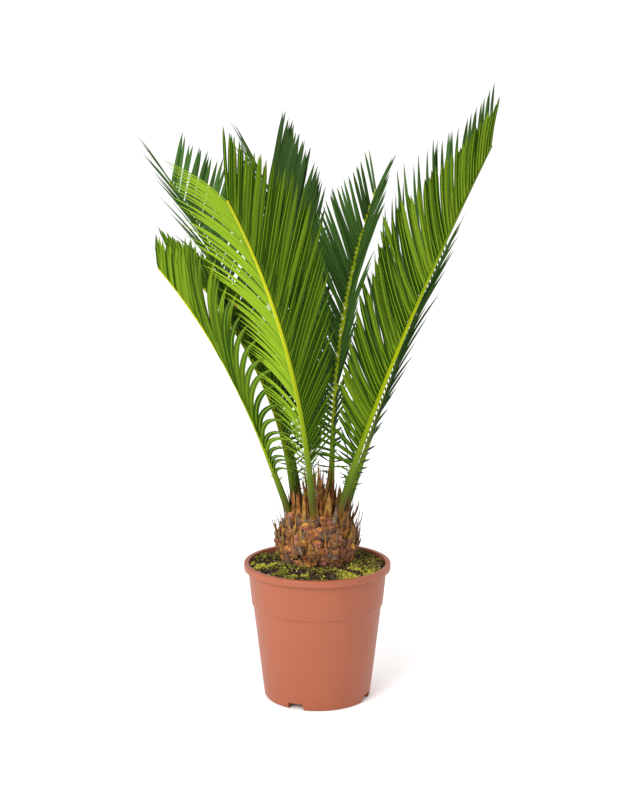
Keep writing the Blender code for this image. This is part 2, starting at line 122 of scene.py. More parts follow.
# The squat stem
STEM_FOOT_RADIUS = 0.042
STEM_RADIUS = 0.050
STEM_WIDEST_Z = 0.207
CROWN_Z = 0.239
CROWN_RADIUS = 0.037
CROWN_RISE = 0.004
CROWN_PROFILE = ((0.024, CROWN_Z + 0.003), (0.012, CROWN_Z + CROWN_RISE),
                 (POLE_RADIUS, CROWN_Z + CROWN_RISE))
STEM_STEPS = 72
STEM_RINGS = 15
STEM_INSET = 0.001
STEM_LUMP = 0.0016
STEM_LUMPS_FROM_Z = MOUND_Z + 0.002
STEM_LUMPS_A_METRE = 110.0

# The old leaf bases: sides, how square they are, how far their point lies above the middle,
# width, depth, how deep they sit in the stem and how far they stray up and down
BASE_SIDES = 12
BASE_SQUARENESS = 1.4
BASE_POINT_RISE = 0.35
BASE_WIDTH = 0.0102
BASE_DEPTH = 0.0086
BASE_SUNK = 0.0025
BASE_STRAY = 0.0024
# Where the first and the last row lie over the mound and under the crown, the first row's
# tilt in degrees and how much more the last row has
BASE_FIRST_RISE = 0.005
BASE_LAST_DROP = 0.001
BASE_FOOT_TILT = 8
BASE_MORE_TILT = 62
# How much leaf bases differ: degrees, sideways sways, and ranges of shares
BASE_TILT_JITTER = 9.0
BASE_SWAY = 0.16
BASE_TWIST = 0.22
BASE_STEP_JITTER = (-0.3, 0.3)
BASE_WIDTHS = (0.75, 1.2)
BASE_THICKS = (0.50, 0.74)
BASE_DEPTHS = (0.55, 1.2)
BASE_SKIN_SHARES = (0.32, 0.34, 0.16, 0.18)
POINTED_RINGS = ((-0.35, 1.0), (0.25, 1.0), (0.60, 0.86), (0.86, 0.55), (0.98, 0.28))
BLUNT_RINGS = ((-0.35, 1.0), (0.25, 1.0), (0.66, 0.92), (0.92, 0.70), (1.00, 0.52))
BASE_SHAPES = (("base_pointed", POINTED_RINGS, 1.05), ("base_spined", POINTED_RINGS, 1.16),
               ("base_blunt", BLUNT_RINGS, 0.92))

# Each kind of dead scale: its ranges of length, of width and of arch in degrees, the shares
# of the five dry tissues, and its taper
SCALE_KINDS = {
    "bract": ((0.009, 0.017), (0.006, 0.011), (-40, 10), (0.20, 0.20, 0.22, 0.10, 0.28), 0.9),
    "shred": ((0.016, 0.038), (0.0022, 0.0052), (-20, 30), (0.34, 0.20, 0.18, 0.28, 0.0), 0.35),
    "crown": ((0.020, 0.046), (0.006, 0.0115), (-10, 14), (0.34, 0.34, 0.18, 0.14, 0.0), 0.25),
    "cataphyll": ((0.034, 0.056), (0.010, 0.014), (-26, 6), (0.26, 0.42, 0.28, 0.04, 0.0), 0.45),
    "edge": ((0.024, 0.040), (0.0040, 0.0066), (-50, -10), (0.36, 0.30, 0.18, 0.16, 0.0), 0.3),
    "cone": ((0.050, 0.080), (0.006, 0.011), (-8, 6), (0.46, 0.16, 0.32, 0.06, 0.0), 0.3),
}
SPEAR_SWAY = 0.09
# How far each kind leans outward, in degrees
SCALE_LEANS = {"bract": (8, 34), "shred": (-6, 10), "crown": (-6, 10), "cataphyll": (2, 12),
               "edge": (10, 26), "cone": (-4, 3)}
# Bracts and shreds start over the mound and have a reach; higher bracts lean less, in degrees
BRACT_FIRST_RISE = 0.004
BRACT_REACH = 0.055
BRACT_LEAN_LOST = 26
SHRED_FIRST_RISE = 0.010
SHRED_REACH = 0.050
SHRED_RIGHT_SHARE = 0.66
CROWN_RINGS = (0.020, 0.041)
# From this ring on, crown scales lean out by so many degrees a metre
CROWN_UPRIGHT_RING = 0.030
CROWN_SPREAD = 420
CATAPHYLL_RINGS = (0.024, 0.033)
EDGE_HEIGHTS = (0.212, 0.234)
EDGE_AZIMUTH_JITTER = 26.0
# The cone's scales lean out and grow shorter with their ring
CONE_FIRST_RING = 0.004
CONE_REACH = 0.015
CONE_SPREAD = 150
CONE_STRETCH = 1.1
CONE_SHORTER = 14
# How deep each kind's root sits: out from the stem's skin, or below a height
BRACT_SEAT = 0.003
SHRED_SEAT = 0.0035
EDGE_SEAT = 0.002
ROOT_DEPTH = 0.004
CROWN_ROOT_DEPTH = 0.006
CATAPHYLL_ROOT_DEPTH = 0.008
# The stem's shaggy sides: mean azimuth and spread in degrees
SHAGGY_RIGHT = (-12, 34)
SHAGGY_LEFT = (198, 40)
FIBRE_LENGTHS = (0.005, 0.012)
FIBRE_WIDTHS = (0.0004, 0.0010)
FIBRE_TAPER = 0.7
# Where fibres start over the mound, their reach, and how they sway and curl
FIBRE_FIRST_RISE = 0.004
FIBRE_REACH = 0.054
FIBRE_OUT = (0.1, 0.6)
FIBRE_UP = (-0.6, 1.0)
FIBRE_SWAY = 0.5
FIBRE_CURL = 0.7
FIBRE_SHARES = (0.3, 0.25, 0.15, 0.3, 0.0)

# Dry and mossy tissues: dark and light colour, and in millimetres the size of their blotches
# and the depth of their relief
TISSUES = {
    # Peat is wet humus, near black; shreds of root and bark in it stay brown
    "peat_crumb_dark": ("#120b08", "#2a1d14", 2.0, 0.3),
    "peat_crumb_fibre": ("#2b1d12", "#5a432c", 2.0, 0.3),
    "bark_crumb": ("#42301f", "#6f5638", 2.0, 0.3),
    # Perlite is puffed glass: matt white grains, a little stained by the peat
    "expanded_perlite": ("#b5ae9f", "#ece8df", 1.5, 0.4),
    # Moss shoots grow yellow-green in light, dark green in shade and die olive and brown
    "moss_shoots_lit": ("#74731b", "#b2ab40", 3.0, 0.4),
    "moss_shoots_shaded": ("#474a12", "#82842a", 3.0, 0.4),
    "moss_shoots_old": ("#443e12", "#857a32", 3.0, 0.4),
    "moss_shoots_dead": ("#1f1a0e", "#44381f", 3.0, 0.4),
    # Between the leaf bases is felted wool, dark with dirt and with painted shade
    "stem_felt_and_shade": ("#1d110b", "#452a1a", 4.0, 0.8),
    # Old leaf bases weather from rose through brown to grey; cut ends dry amber and rusty
    "leaf_base_fresh": ("#532e24", "#9c6349", 4.0, 0.6),
    "leaf_base_dry": ("#472a18", "#8d5f38", 4.0, 0.6),
    "leaf_base_weathered": ("#38271c", "#6e543f", 4.0, 0.6),
    "leaf_base_cut_face": ("#8a5a20", "#c4923c", 2.5, 0.3),
    "leaf_base_torn_edge": ("#754423", "#b9793f", 2.5, 0.3),
    # Dead scales are thin and fibrous: tan when new, then brown, rusty and grey
    "dry_scale_brown": ("#4a2c10", "#94622a", 6.0, 0.4),
    "dry_scale_tan": ("#67481a", "#9f7638", 6.0, 0.4),
    "dry_scale_rust": ("#4c290f", "#864f24", 6.0, 0.4),
    "dry_scale_grey": ("#43352a", "#7d6751", 6.0, 0.4),
    "dry_bract_rose": ("#58332a", "#98644a", 5.0, 0.5),
}
DRY_TISSUES = ("dry_scale_brown", "dry_scale_tan", "dry_scale_rust", "dry_scale_grey",
               "dry_bract_rose")
# How far wear moves their points, in metres, and how large it is, in millimetres
CRUMB_WEAR = (0.0008, 3.0)
PERLITE_WEAR = (0.0005, 2.0)
MOSS_WEAR = (0.0006, 2.0)
BASE_WEAR = (0.0030, 4.5)
# The scattered pieces: their tissue, and that of their cut faces where it is another
CRUMB_PIECES = (("crumbs_dark", "peat_crumb_dark"), ("crumbs_brown", "peat_crumb_fibre"),
                ("crumbs_bark", "bark_crumb"))
PERLITE_PIECES = (("perlite_grains", "expanded_perlite"),)
MOSS_PIECES = (("moss_yellow", "moss_shoots_lit"), ("moss_green", "moss_shoots_shaded"),
               ("moss_olive", "moss_shoots_old"), ("moss_brown", "moss_shoots_dead"))
BASE_PIECES = (("leaf_bases_rose", "leaf_base_fresh", "leaf_base_torn_edge"),
               ("leaf_bases_brown", "leaf_base_dry"), ("leaf_bases_grey", "leaf_base_weathered"),
               ("leaf_bases_cut", "leaf_base_fresh", "leaf_base_cut_face"))

# The ribs and leaflets, by the same rule as the solids
RIB_RING_RADIUS = 0.0325
RIB_FOOT_Z = 0.230
RIB_FOOT_THICK = 0.0052
RIB_TIP_THICK = 0.0013
RIB_TAPER = 0.7
RIB_STEPS = 48
BARE_RIB = 0.17
LEAF_LENGTH = 0.150
LEAF_OPEN = 45
PAIR_STAGGER = 0.35
FOOT_LENGTH = 0.3
FOOT_ANGLE = 78
MIDDLE_ANGLE = 42
RIB_CLEAR = 0.0055
RIB_SEAT = 0.25
LENGTH_TRIES = (1.0, 0.9, 0.8, 0.7, 0.6, 0.5, 0.4, 0.3)
# How much leaflets differ: spreads in degrees, and ranges of shares
LIFT_JITTER = 2.5
ANGLE_JITTER = 1.5
HOOK_JITTER = 4.0
TILT_JITTER = 3.0
TURN_JITTER = 5.0
BEND_JITTER = (0.7, 1.3)
REACH_JITTER = (0.94, 1.02)
NO_TURN = (0.0, 0.0, 0.0)
# The short leaflets below a blade, and their manner as in ROWS
SPINES_FROM = 0.07
SPINE_LENGTHS = (0.010, 0.040)
SPINE_WIDTH = 0.0023
SPINE_ANGLE = FOOT_ANGLE - 12
SPINE_OPEN = LEAF_OPEN - 15
SPINE_ANGLE_JITTER = 9.0
SPINE_LIFT_JITTER = 14.0
SPINE_MANNER = (8, 6, 0, 10, 0.2)

# The leaflets' tones, in the order of their materials. The upper shades darken and lighten one
# upper colour: painted shade and painted light
UPPER_PAINTED_SHADES = (0.5, 0.72, 0.95, 1.2)
UPPER_TONES = len(UPPER_PAINTED_SHADES)
UNDER_TONES = 5
MIDRIB_TONE = UPPER_TONES + UNDER_TONES
BASE_TONE = MIDRIB_TONE + 1
DRY_TONE = BASE_TONE + 1
DRY_STATIONS = 1
SPINE_TONES = (1, UPPER_TONES + 3, MIDRIB_TONE)
DRY_TIP_COLOUR = "#8f7a2e"
# The stalk's colours: brown wool at its foot, green, then waxy yellow-green
RIB_COLOURS = ((0.048, "#7c4c24"), (0.072, "#594819"), (0.100, "#464a17"), (0.15, "#4b5e17"),
               (0.20, "#596e17"), (0.30, "#758809"), (0.45, "#8f9c06"), (0.70, "#afb406"),
               (1.0, "#a8a808"))
# How many tones darker the lowest leaflets are: painted shade under the fronds above
LOW_SHADE = 1.5
LEAF_SPECULAR = 0.05
BLADE_SHARP_DEGREES = 50
GROWN_SHARP_DEGREES = 60
UP = np.array([0.0, 0.0, 1.0])

# Each frond: azimuth, its sweep along the rib, lean at foot and tip, how early the lean
# comes, rib length, roll at foot, twist to the tip, leaflet length factor, extra opening and
# the share of its length that the last leaflet lacks
FRONDS = {
    "frond_front": (-98, -8, 15, 57, 0.5, 0.577, 6, 22, 1.00, -2, 0.48),
    "frond_front_right": (-43, 0, 16, 31, 0.5, 0.528, 22, 21, 0.99, 3, 0.52),
    "frond_right": (9, 0, 18, 26, 1.5, 0.374, 28, -9, 0.87, -16, 0.45),
    "frond_back_right": (56, 5, 0, 38, 1.4, 0.448, 13, 2, 0.86, 10, 0.52),
    "frond_back": (101, 8, 11, 35, 0.3, 0.494, -12, 5, 1.12, 10, 0.34),
    "frond_back_left": (131, 12, 2, 43, 0.5, 0.504, -13, 1, 1.05, 0, 0.40),
    "frond_left_back": (154, 12, 0, 48, 0.8, 0.397, 26, -12, 0.80, -12, 0.45),
    "frond_left": (-162, -5, 20, 40, 1.8, 0.373, 8, 4, 0.84, -42, 0.50),
}

# Each frond's two rows of leaflets, the anticlockwise one first: degrees added to a leaflet's
# angle to the rib, its length factor, degrees added to the opening, the share of the blade
# from which its leaflets have their full length, and degrees that they close to at the tip
FANS = {
    "frond_front": ((-3, 1.04, 5, 0.42, 6), (14, 1.00, 4, 0.90, 6)),
    "frond_front_right": ((0, 1.03, 2, 0.42, 14), (-3, 0.98, 0, 0.42, 14)),
    "frond_right": ((0, 1.00, 0, 0.42, 6), (0, 1.00, 2, 0.42, 6)),
    "frond_back_right": ((2, 0.98, 1, 0.42, 6), (-2, 1.00, 5, 0.42, 6)),
    "frond_back": ((3, 1.00, -2, 0.42, 6), (6, 1.07, 11, 0.42, 6)),
    "frond_back_left": ((12, 1.04, -4, 0.42, 6), (5, 0.95, -3, 0.42, 6)),
    "frond_left_back": ((-6, 0.95, -9, 0.42, 6), (1, 0.96, -10, 0.42, 6)),
    "frond_left": ((-10, 1.07, 0, 0.42, 6), (0, 1.00, 17, 0.42, 6)),
}

# Each frond's two rows of leaflets, the anticlockwise one first: degrees that a leaflet
# arches outward, that it hooks on along the rib and that it droops, its width against the
# setting, degrees that it is turned on its own axis, where along it its point begins, its
# main upper and under tones, and the share of its leaflets that is missing. The main tones
# are painted light and shade as well as colour: rows facing the key light take lighter tones
# and rows in shade darker ones
ROWS = {
    "frond_front": ((4, 6, 4, 1.08, 16, 0.72, 2, 4, 0.01),
                    (14, -32, 10, 0.74, 20, 0.30, 2, 0, 0.03)),
    "frond_front_right": ((6, 26, 0, 0.85, 2, 0.60, 1, 4, 0.03),
                          (8, 10, 4, 1.12, 12, 0.80, 2, 3, 0.01)),
    "frond_right": ((14, 4, 6, 0.85, 18, 0.50, 2, 3, 0.06),
                    (12, 10, 0, 0.75, 20, 0.50, 2, 4, 0.04)),
    "frond_back_right": ((6, 8, 4, 0.92, 14, 0.60, 2, 3, 0.04),
                         (6, 8, 4, 0.95, 18, 0.60, 1, 3, 0.03)),
    "frond_back": ((6, 4, 2, 0.70, 18, 0.50, 1, 3, 0.12),
                   (6, 6, 2, 1.60, 18, 0.70, 0, 3, 0.0)),
    "frond_back_left": ((8, -10, 6, 0.64, 26, 0.50, 3, 1, 0.28),
                        (10, 2, 0, 0.92, 18, 0.60, 2, 2, 0.06)),
    "frond_left_back": ((6, 4, 2, 1.00, -28, 0.60, 2, 4, 0.02),
                        (6, 4, 2, 1.10, -28, 0.60, 2, 4, 0.02)),
    "frond_left": ((10, 0, 20, 1.30, -34, 0.50, 2, 3, 0.02),
                   (12, 2, 10, 0.80, 20, 0.50, 1, 4, 0.04)),
}
# A rib's section: its sides, and its thickness across against that along the upper face
RIB_SIDES = 14
RIB_FLATNESS = 0.92
# How thick a living rib is against the solid one, above its foot
RIB_SLIMNESS = 0.84
RIB_SLIM = {"frond_left": 0.64, "frond_left_back": 0.60}
# How far some ribs go back to green towards their tip
RIB_GREEN = {"frond_front_right": 0.85, "frond_left_back": 0.75, "frond_back_right": 0.6,
             "frond_right": 0.6}
# Which fronds have pale leaflet feet, and where the left one's spines begin
PALE_FEET = ("frond_back_right", "frond_left_back")
SPINES_START = {"frond_left": 0.15}
# The row whose leaflets hang over: its hand, where along a leaflet it has the solid one's
# direction, the way that it turns through near the stem and its length against the solid's
HANGING = {"frond_left": (1, 0.34, (1.05, 0.0, -0.62), 1.40)}
# How some fronds' last leaflets turn against the solids' straight ones
TIP_TURN = {"frond_left": (0.36, 0.0, 0.0), "frond_left_back": (0.2, 0.0, 0.0)}
# How much the low leaflets of some rows rise along the rib, beside the solids' level ones
LOW_RISE = {("frond_front_right", -1): 0.62, ("frond_front_right", 1): 0.3,
            ("frond_front", 1): 0.25, ("frond_front", -1): 0.4, ("frond_back_right", 1): 0.3}
# How much longer the low leaflets of some rows are than the solids' ones
LONG_LOW = {("frond_front", -1): 0.40, ("frond_front_right", -1): 0.15}
# The share of their length that some fronds' last leaflets lack beside the solids'
SHORT_TIPS = {"frond_left": 0.40, "frond_left_back": 0.38, "frond_back_left": 0.1}


# Small helpers


def linear(hex_colour):
    """An sRGB hex value as linear red, green, blue and alpha."""
    channels = [int(hex_colour[place:place + 2], 16) / 255.0 for place in (1, 3, 5)]
    turned = [c / 12.92 if c <= 0.04045 else ((c + 0.055) / 1.055) ** 2.4 for c in channels]
    return (*turned, 1.0)


def per_mm(size_mm):
    """The pattern scale that gives features of a real size on Object coordinates."""
    return 1.0 / (size_mm * MM)


def ease(start, end, value):
    share = np.clip((value - start) / (end - start), 0.0, 1.0)
    return share * share * (3.0 - 2.0 * share)


def add_node(tree, kind, sockets=None, **settings):
    """Adds a node with its settings; each named or numbered socket takes a link or a value."""
    node = tree.nodes.new(kind)
    for setting, value in settings.items():
        setattr(node, setting, value)
    for socket, value in (sockets or {}).items():
        if isinstance(value, bpy.types.NodeSocket):
            tree.links.new(value, node.inputs[socket])
        else:
            node.inputs[socket].default_value = value
    return node


def shader_material(name, colour, roughness, specular=0.5):
    """A material of one Principled shader, with its plain values on the shader's own sockets."""
    material = bpy.data.materials.new(name)
    material.use_nodes = True
    shader = material.node_tree.nodes["Principled BSDF"]
    shader.inputs["Base Color"].default_value = colour
    shader.inputs["Roughness"].default_value = roughness
    shader.inputs["Specular IOR Level"].default_value = specular
    return material, material.node_tree, shader


def object_noise(tree, size_mm, detail=3.0, stretch=(1.0, 1.0, 1.0)):
    """Noise on Object coordinates with features of a real size, stretched by axis."""
    place = add_node(tree, "ShaderNodeTexCoord")
    mapping = add_node(tree, "ShaderNodeMapping",
                       {"Vector": place.outputs["Object"], "Scale": stretch})
    return add_node(tree, "ShaderNodeTexNoise",
                    {"Vector": mapping.outputs["Vector"], "Scale": per_mm(size_mm),
                     "Detail": detail})


def colour_ramp(tree, factor, stops):
    """A ramp of shares and sRGB hex values."""
    ramp = add_node(tree, "ShaderNodeValToRGB", {"Fac": factor})
    elements = ramp.color_ramp.elements
    while len(elements) < len(stops):
        elements.new(1.0)
    for element, (share, colour) in zip(elements, stops):
        element.position = share
        element.color = linear(colour)
    return ramp.outputs["Color"]


def roughen(tree, shader, factor, low, high):
    spread = add_node(tree, "ShaderNodeMapRange",
                      {"Value": factor, "To Min": low, "To Max": high})
    tree.links.new(spread.outputs["Result"], shader.inputs["Roughness"])


def emboss(tree, shader, height, depth_mm, strength=1.0):
    bump = add_node(tree, "ShaderNodeBump",
                    {"Height": height, "Distance": depth_mm * MM, "Strength": strength})
    tree.links.new(bump.outputs["Normal"], shader.inputs["Normal"])


def add_piece(name, mesh, replaced, materials=()):
    """A finished piece: linked and riding on the body, with the solid of the node it stands for
    hidden.
    """
    for material in materials:
        mesh.materials.append(material)
    piece = linked_object(name, mesh)
    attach(piece, BODY)
    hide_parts(replaced)
    return piece


def mesh_from(name, vertices, faces, face_materials=None, sharp_degrees=None):
    mesh = bpy.data.meshes.new(name)
    mesh.from_pydata(vertices, [], faces)
    if face_materials is not None:
        mesh.polygons.foreach_set("material_index", np.asarray(face_materials, dtype=np.int32))
    mesh.shade_smooth()
    if sharp_degrees is not None:
        mesh.set_sharp_from_angle(angle=math.radians(sharp_degrees))
    mesh.update()
    return mesh


def evaluated_mesh(thing):
    graph = bpy.context.evaluated_depsgraph_get()
    return bpy.data.meshes.new_from_object(thing.evaluated_get(graph))


def node_tree_with_inputs(name, inputs):
    """A geometry tree with named inputs, its input and output nodes."""
    tree = bpy.data.node_groups.new(name, "GeometryNodeTree")
    tree.interface.new_socket("Geometry", in_out="INPUT", socket_type="NodeSocketGeometry")
    for label, kind in inputs:
        tree.interface.new_socket(label, in_out="INPUT", socket_type=kind)
    tree.interface.new_socket("Geometry", in_out="OUTPUT", socket_type="NodeSocketGeometry")
    return tree, tree.nodes.new("NodeGroupInput"), tree.nodes.new("NodeGroupOutput")


def kept_values(tree, labels):
    """Sockets that give the values kept on the mesh under names, each of its own kind."""
    return [add_node(tree, "GeometryNodeInputNamedAttribute", {"Name": label},
                     data_type=kind).outputs["Attribute"] for label, kind in labels]


def grown_mesh(source, tree, values):
    """What a geometry tree makes of a source object, as a plain mesh; the source goes."""
    modifier = source.modifiers.new("grow", "NODES")
    modifier.node_group = tree
    for item in tree.interface.items_tree:
        if item.item_type == "SOCKET" and item.in_out == "INPUT" and item.name in values:
            modifier[item.identifier] = values[item.name]
    mesh = evaluated_mesh(source)
    source.modifiers.remove(modifier)
    bpy.data.objects.remove(source)
    return mesh


def linked_object(name, mesh):
    thing = bpy.data.objects.new(name, mesh)
    bpy.context.scene.collection.objects.link(thing)
    return thing


def finished_mesh(name, shape):
    """The mesh of a bmesh, which goes."""
    mesh = bpy.data.meshes.new(name)
    shape.to_mesh(mesh)
    shape.free()
    return mesh


def set_attribute(mesh, label, kind, values):
    """Keeps a value for each of the mesh's points under a name."""
    form = np.int32 if kind == "INT" else np.float32
    key = "vector" if kind == "FLOAT_VECTOR" else "value"
    attribute = mesh.attributes.new(label, kind, "POINT")
    attribute.data.foreach_set(key, np.ascontiguousarray(values, dtype=form).ravel())


def lathe(profile, steps):
    """Vertices and faces of a profile of radius and height pairs turned round the Z axis,
    closed at both ends."""
    angles = np.linspace(0.0, math.tau, steps, endpoint=False)
    radii, heights = np.array(profile).T[..., None]
    vertices = np.stack([radii * np.cos(angles), radii * np.sin(angles),
                         heights + 0.0 * angles], axis=-1).reshape(-1, 3)
    last = (len(profile) - 1) * steps
    faces = []
    for start in range(0, last, steps):
        above = start + steps
        for step in range(steps):
            beside = (step + 1) % steps
            faces.append((start + step, start + beside, above + beside, above + step))
    faces.append(tuple(range(steps))[::-1])
    faces.append(tuple(range(last, last + steps)))
    return vertices, faces


# The pot


def pot_material(colour):
    """Moulded polypropylene: satin, with faint flow marks and a fine orange-peel skin."""
    material, tree, shader = shader_material("moulded_polypropylene_terracotta", colour, 0.45, 0.4)
    flow = object_noise(tree, 38.0, 4.0, (1.0, 1.0, 0.35))
    value = add_node(tree, "ShaderNodeMapRange",
                     {"Value": flow.outputs["Fac"], "To Min": 0.93, "To Max": 1.06})
    tint = add_node(tree, "ShaderNodeHueSaturation",
                    {"Value": value.outputs["Result"], "Color": colour})
    tree.links.new(tint.outputs["Color"], shader.inputs["Base Color"])
    scuff = object_noise(tree, 9.0, 8.0, (1.0, 1.0, 0.5))
    roughen(tree, shader, scuff.outputs["Fac"], 0.36, 0.58)
    peel = object_noise(tree, 0.9, 2.0)
    emboss(tree, shader, peel.outputs["Fac"], 0.05, 0.6)
    return material


def arc(centre, radius, start, end, steps=5):
    """Points on a round of a profile, from a start to an end angle in degrees."""
    angles = np.radians(np.linspace(start, end, steps))
    return [(centre[0] + radius * math.cos(a), centre[1] + radius * math.sin(a)) for a in angles]


def wall_radius(height):
    """Outer radius of the pot's wall at a height, without the rim's band."""
    if height >= COLLAR_FOOT_Z:
        share = (height - COLLAR_FOOT_Z) / (POT_HEIGHT - COLLAR_FOOT_Z)
        return COLLAR_FOOT_RADIUS + share * (COLLAR_TOP_RADIUS - COLLAR_FOOT_RADIUS)
    share = height / (COLLAR_FOOT_Z - STEP_HEIGHT)
    return FOOT_RADIUS + share * (WALL_TOP_RADIUS - FOOT_RADIUS)


def pot_profile(lip):
    """From the underside's centre out, up the wall, over the rim and down the inside."""
    step_z = COLLAR_FOOT_Z - STEP_HEIGHT
    floor_z = CHANNEL_HEIGHT + FLOOR
    band_foot = POT_HEIGHT - RIM_BAND
    ring_inner = FOOT_RADIUS - FOOT_ROUND / 2 - FOOT_RING_WIDTH
    small = 0.5 * lip
    points = [
        (CENTRE_DISC_RADIUS, 0.0),
        (CENTRE_DISC_RADIUS + FLOOR, CHANNEL_HEIGHT),
        (ring_inner - FLOOR, CHANNEL_HEIGHT),
        (ring_inner, small),
        (ring_inner + small, 0.0),
    ]
    points += arc((FOOT_RADIUS - FOOT_ROUND, FOOT_ROUND), FOOT_ROUND, -90, -5, 6)
    points += [(wall_radius(height), height)
               for height in np.linspace(WALL_FIRST_Z, step_z - small, 6)]
    points += arc((wall_radius(step_z) + small, step_z), small, 180, 100, 4)
    points += arc((COLLAR_FOOT_RADIUS - lip, COLLAR_FOOT_Z + lip), lip, -60, 0, 4)
    points += [(wall_radius(height), height)
               for height in np.linspace(COLLAR_FIRST_Z, band_foot - lip, 3)]
    points += arc((wall_radius(band_foot) + lip, band_foot - lip), lip, 180, 90, 4)
    points += arc((RIM_RADIUS - lip, band_foot + lip), lip, -90, 0, 4)
    points += arc((RIM_RADIUS - 1.4 * lip, POT_HEIGHT - 1.4 * lip), 1.4 * lip, 0, 90, 6)
    points += arc((COLLAR_TOP_RADIUS - WALL + lip, POT_HEIGHT - lip), lip, 90, 180, 5)
    points += [
        (COLLAR_FOOT_RADIUS - WALL, COLLAR_FOOT_Z),
        (wall_radius(step_z) - WALL, step_z),
        (wall_radius(floor_z) - WALL, floor_z),
        (CENTRE_DISC_RADIUS + FLOOR, floor_z),
        (CENTRE_DISC_RADIUS - FLOOR, FLOOR),
    ]
    return points


def pot_openings():
    """The water notches in the foot ring and the drain holes in the floor, as one cutter."""
    shape = bmesh.new()
    for index in range(NOTCH_COUNT):
        azimuth = math.radians(NOTCH_AZIMUTH + index * 360 / NOTCH_COUNT)
        notch = bmesh.ops.create_cube(shape, size=1.0)["verts"]
        size = (2 * FOOT_RING_WIDTH + 2 * FOOT_ROUND, NOTCH_WIDTH, 2 * NOTCH_HEIGHT)
        bmesh.ops.scale(shape, vec=size, verts=notch)
        for corner in notch:
            if corner.co.z > 0.0:
                corner.co.y *= NOTCH_TAPER
        bmesh.ops.translate(shape, vec=(FOOT_RADIUS, 0.0, 0.0), verts=notch)
        bmesh.ops.rotate(shape, matrix=Matrix.Rotation(azimuth, 3, "Z"), verts=notch)
        drain = bmesh.ops.create_cone(shape, cap_ends=True, segments=DRAIN_STEPS,
                                      radius1=DRAIN_RADIUS, radius2=DRAIN_RADIUS,
                                      depth=6 * FLOOR)["verts"]
        turn = azimuth + math.pi / NOTCH_COUNT
        bmesh.ops.translate(shape, vec=(DRAIN_RING_RADIUS * math.cos(turn),
                                        DRAIN_RING_RADIUS * math.sin(turn), CHANNEL_HEIGHT),
                            verts=drain)
    return linked_object("pot_openings", finished_mesh("pot_openings", shape))


def pot_mesh(lip, steps):
    body = linked_object("pot_body", mesh_from("pot_body", *lathe(pot_profile(lip), steps)))
    cutter = pot_openings()
    cut = body.modifiers.new("openings", "BOOLEAN")
    cut.operation = "DIFFERENCE"
    cut.object = cutter
    mesh = evaluated_mesh(body)
    bpy.data.objects.remove(body)
    bpy.data.objects.remove(cutter)
    mesh.materials.clear()
    mesh.shade_smooth()
    mesh.set_sharp_from_angle(angle=math.radians(POT_SHARP_DEGREES))
    return mesh


# Blades: leaflets, dry scales and fibres are all tapering blades on a bent middle line

# A leaflet's cross-section, as shares of its width: across and up, right margin first. Its
# margins roll under, which leaves a gutter on each side of the midrib below
LEAFLET_SECTION = ((0.50, -0.13), (0.27, 0.06), (0.0, -0.015), (-0.27, 0.06), (-0.50, -0.13),
                   (-0.27, 0.01), (-0.09, -0.07), (0.0, -0.17), (0.09, -0.07), (0.27, 0.01))
# Which material each strip of the section takes: 0 upper face, 1 under face, 2 midrib
LEAFLET_STRIPS = (0, 0, 0, 0, 1, 1, 2, 2, 1, 1)
# A dry scale is a thin shell, hollow towards the stem
SCALE_SECTION = ((0.50, -0.10), (0.0, 0.10), (-0.50, -0.10), (0.0, -0.04))
SCALE_STRIPS = (0, 0, 0, 0)


def unit(vectors):
    return vectors / np.maximum(np.linalg.norm(vectors, axis=-1, keepdims=True), 1e-12)


def leaflet_outline(share, taper):
    """Width along a leaflet: a narrow root, parallel margins, then a point from its taper on."""
    rise = 0.42 + 0.58 * ease(0.0, np.maximum(0.10, 0.75 - 1.2 * taper), share)
    return rise * (1.0 - np.clip((share - taper) / (1.0 - taper), 0.0, 1.0) ** 2.0)


def scale_outline(share, taper):
    """Width along a dry scale: ovate with a high taper, a long thin point with a low one."""
    return (1.0 - share ** (1.0 + taper)) * (0.75 + 0.25 * ease(0.0, 0.2, share))


def fibre_outline(share, taper):
    return 1.0 - taper * share


def blade_set(blades, section, outline, steps):
    """Vertices and faces of many blades, each closed at its root and drawn to a point.

    A blade has a root, a way, an up direction, a length, a width, a bend vector that its
    way turns through, the share of its length where it has the way itself, a tilt and turn
    of its section in radians, and a taper.
    """
    count = len(blades)
    share = np.linspace(0.0, 1.0, steps)
    field = {key: np.array([blade[key] for blade in blades], dtype=float)
             for key in ("root", "way", "up", "length", "width", "bend", "pivot", "tilt",
                         "turn", "taper")}
    ways = unit(field["way"])
    bent = (share - field["pivot"][:, None])[..., None] * field["bend"][:, None, :]
    direction = unit(ways[:, None, :] + bent)
    middle = (direction[:, 1:] + direction[:, :-1]) / 2
    path = np.concatenate([np.zeros((count, 1, 3)), np.cumsum(middle, axis=1)], axis=1)
    chord = np.linalg.norm(path[:, -1], axis=-1)
    path *= (field["length"] / chord)[:, None, None]
    path += field["root"][:, None, :]
    across = unit(np.cross(direction, field["up"][:, None, :] + 0.0 * direction)) * -1.0
    up = np.cross(direction, across)
    angle = (field["tilt"][:, None] + field["turn"][:, None] * share)[..., None]
    across, up = (across * np.cos(angle) + up * np.sin(angle),
                  up * np.cos(angle) - across * np.sin(angle))
    wide = outline(share[None, :], field["taper"][:, None])
    wide = (field["width"][:, None] * wide)[..., None, None]
    ring = np.array(section)
    sides = len(ring)
    points = (path[:, :, None, :] + wide * (ring[:, 0, None] * across[:, :, None, :]
                                            + ring[:, 1, None] * up[:, :, None, :]))
    body = points[:, :-1].reshape(count, -1, 3)
    vertices = np.concatenate([body, path[:, -1:, :]], axis=1)
    block = vertices.shape[1]
    station, side = np.meshgrid(np.arange(steps - 2), np.arange(sides), indexing="ij")
    beside = (side + 1) % sides
    quads = np.stack([station * sides + side, station * sides + beside,
                      (station + 1) * sides + beside, (station + 1) * sides + side],
                     axis=-1).reshape(-1, 4)
    last = (steps - 2) * sides
    tips = [(last + side, last + (side + 1) % sides, block - 1) for side in range(sides)]
    return vertices.reshape(-1, 3), quads, tips, block, sides


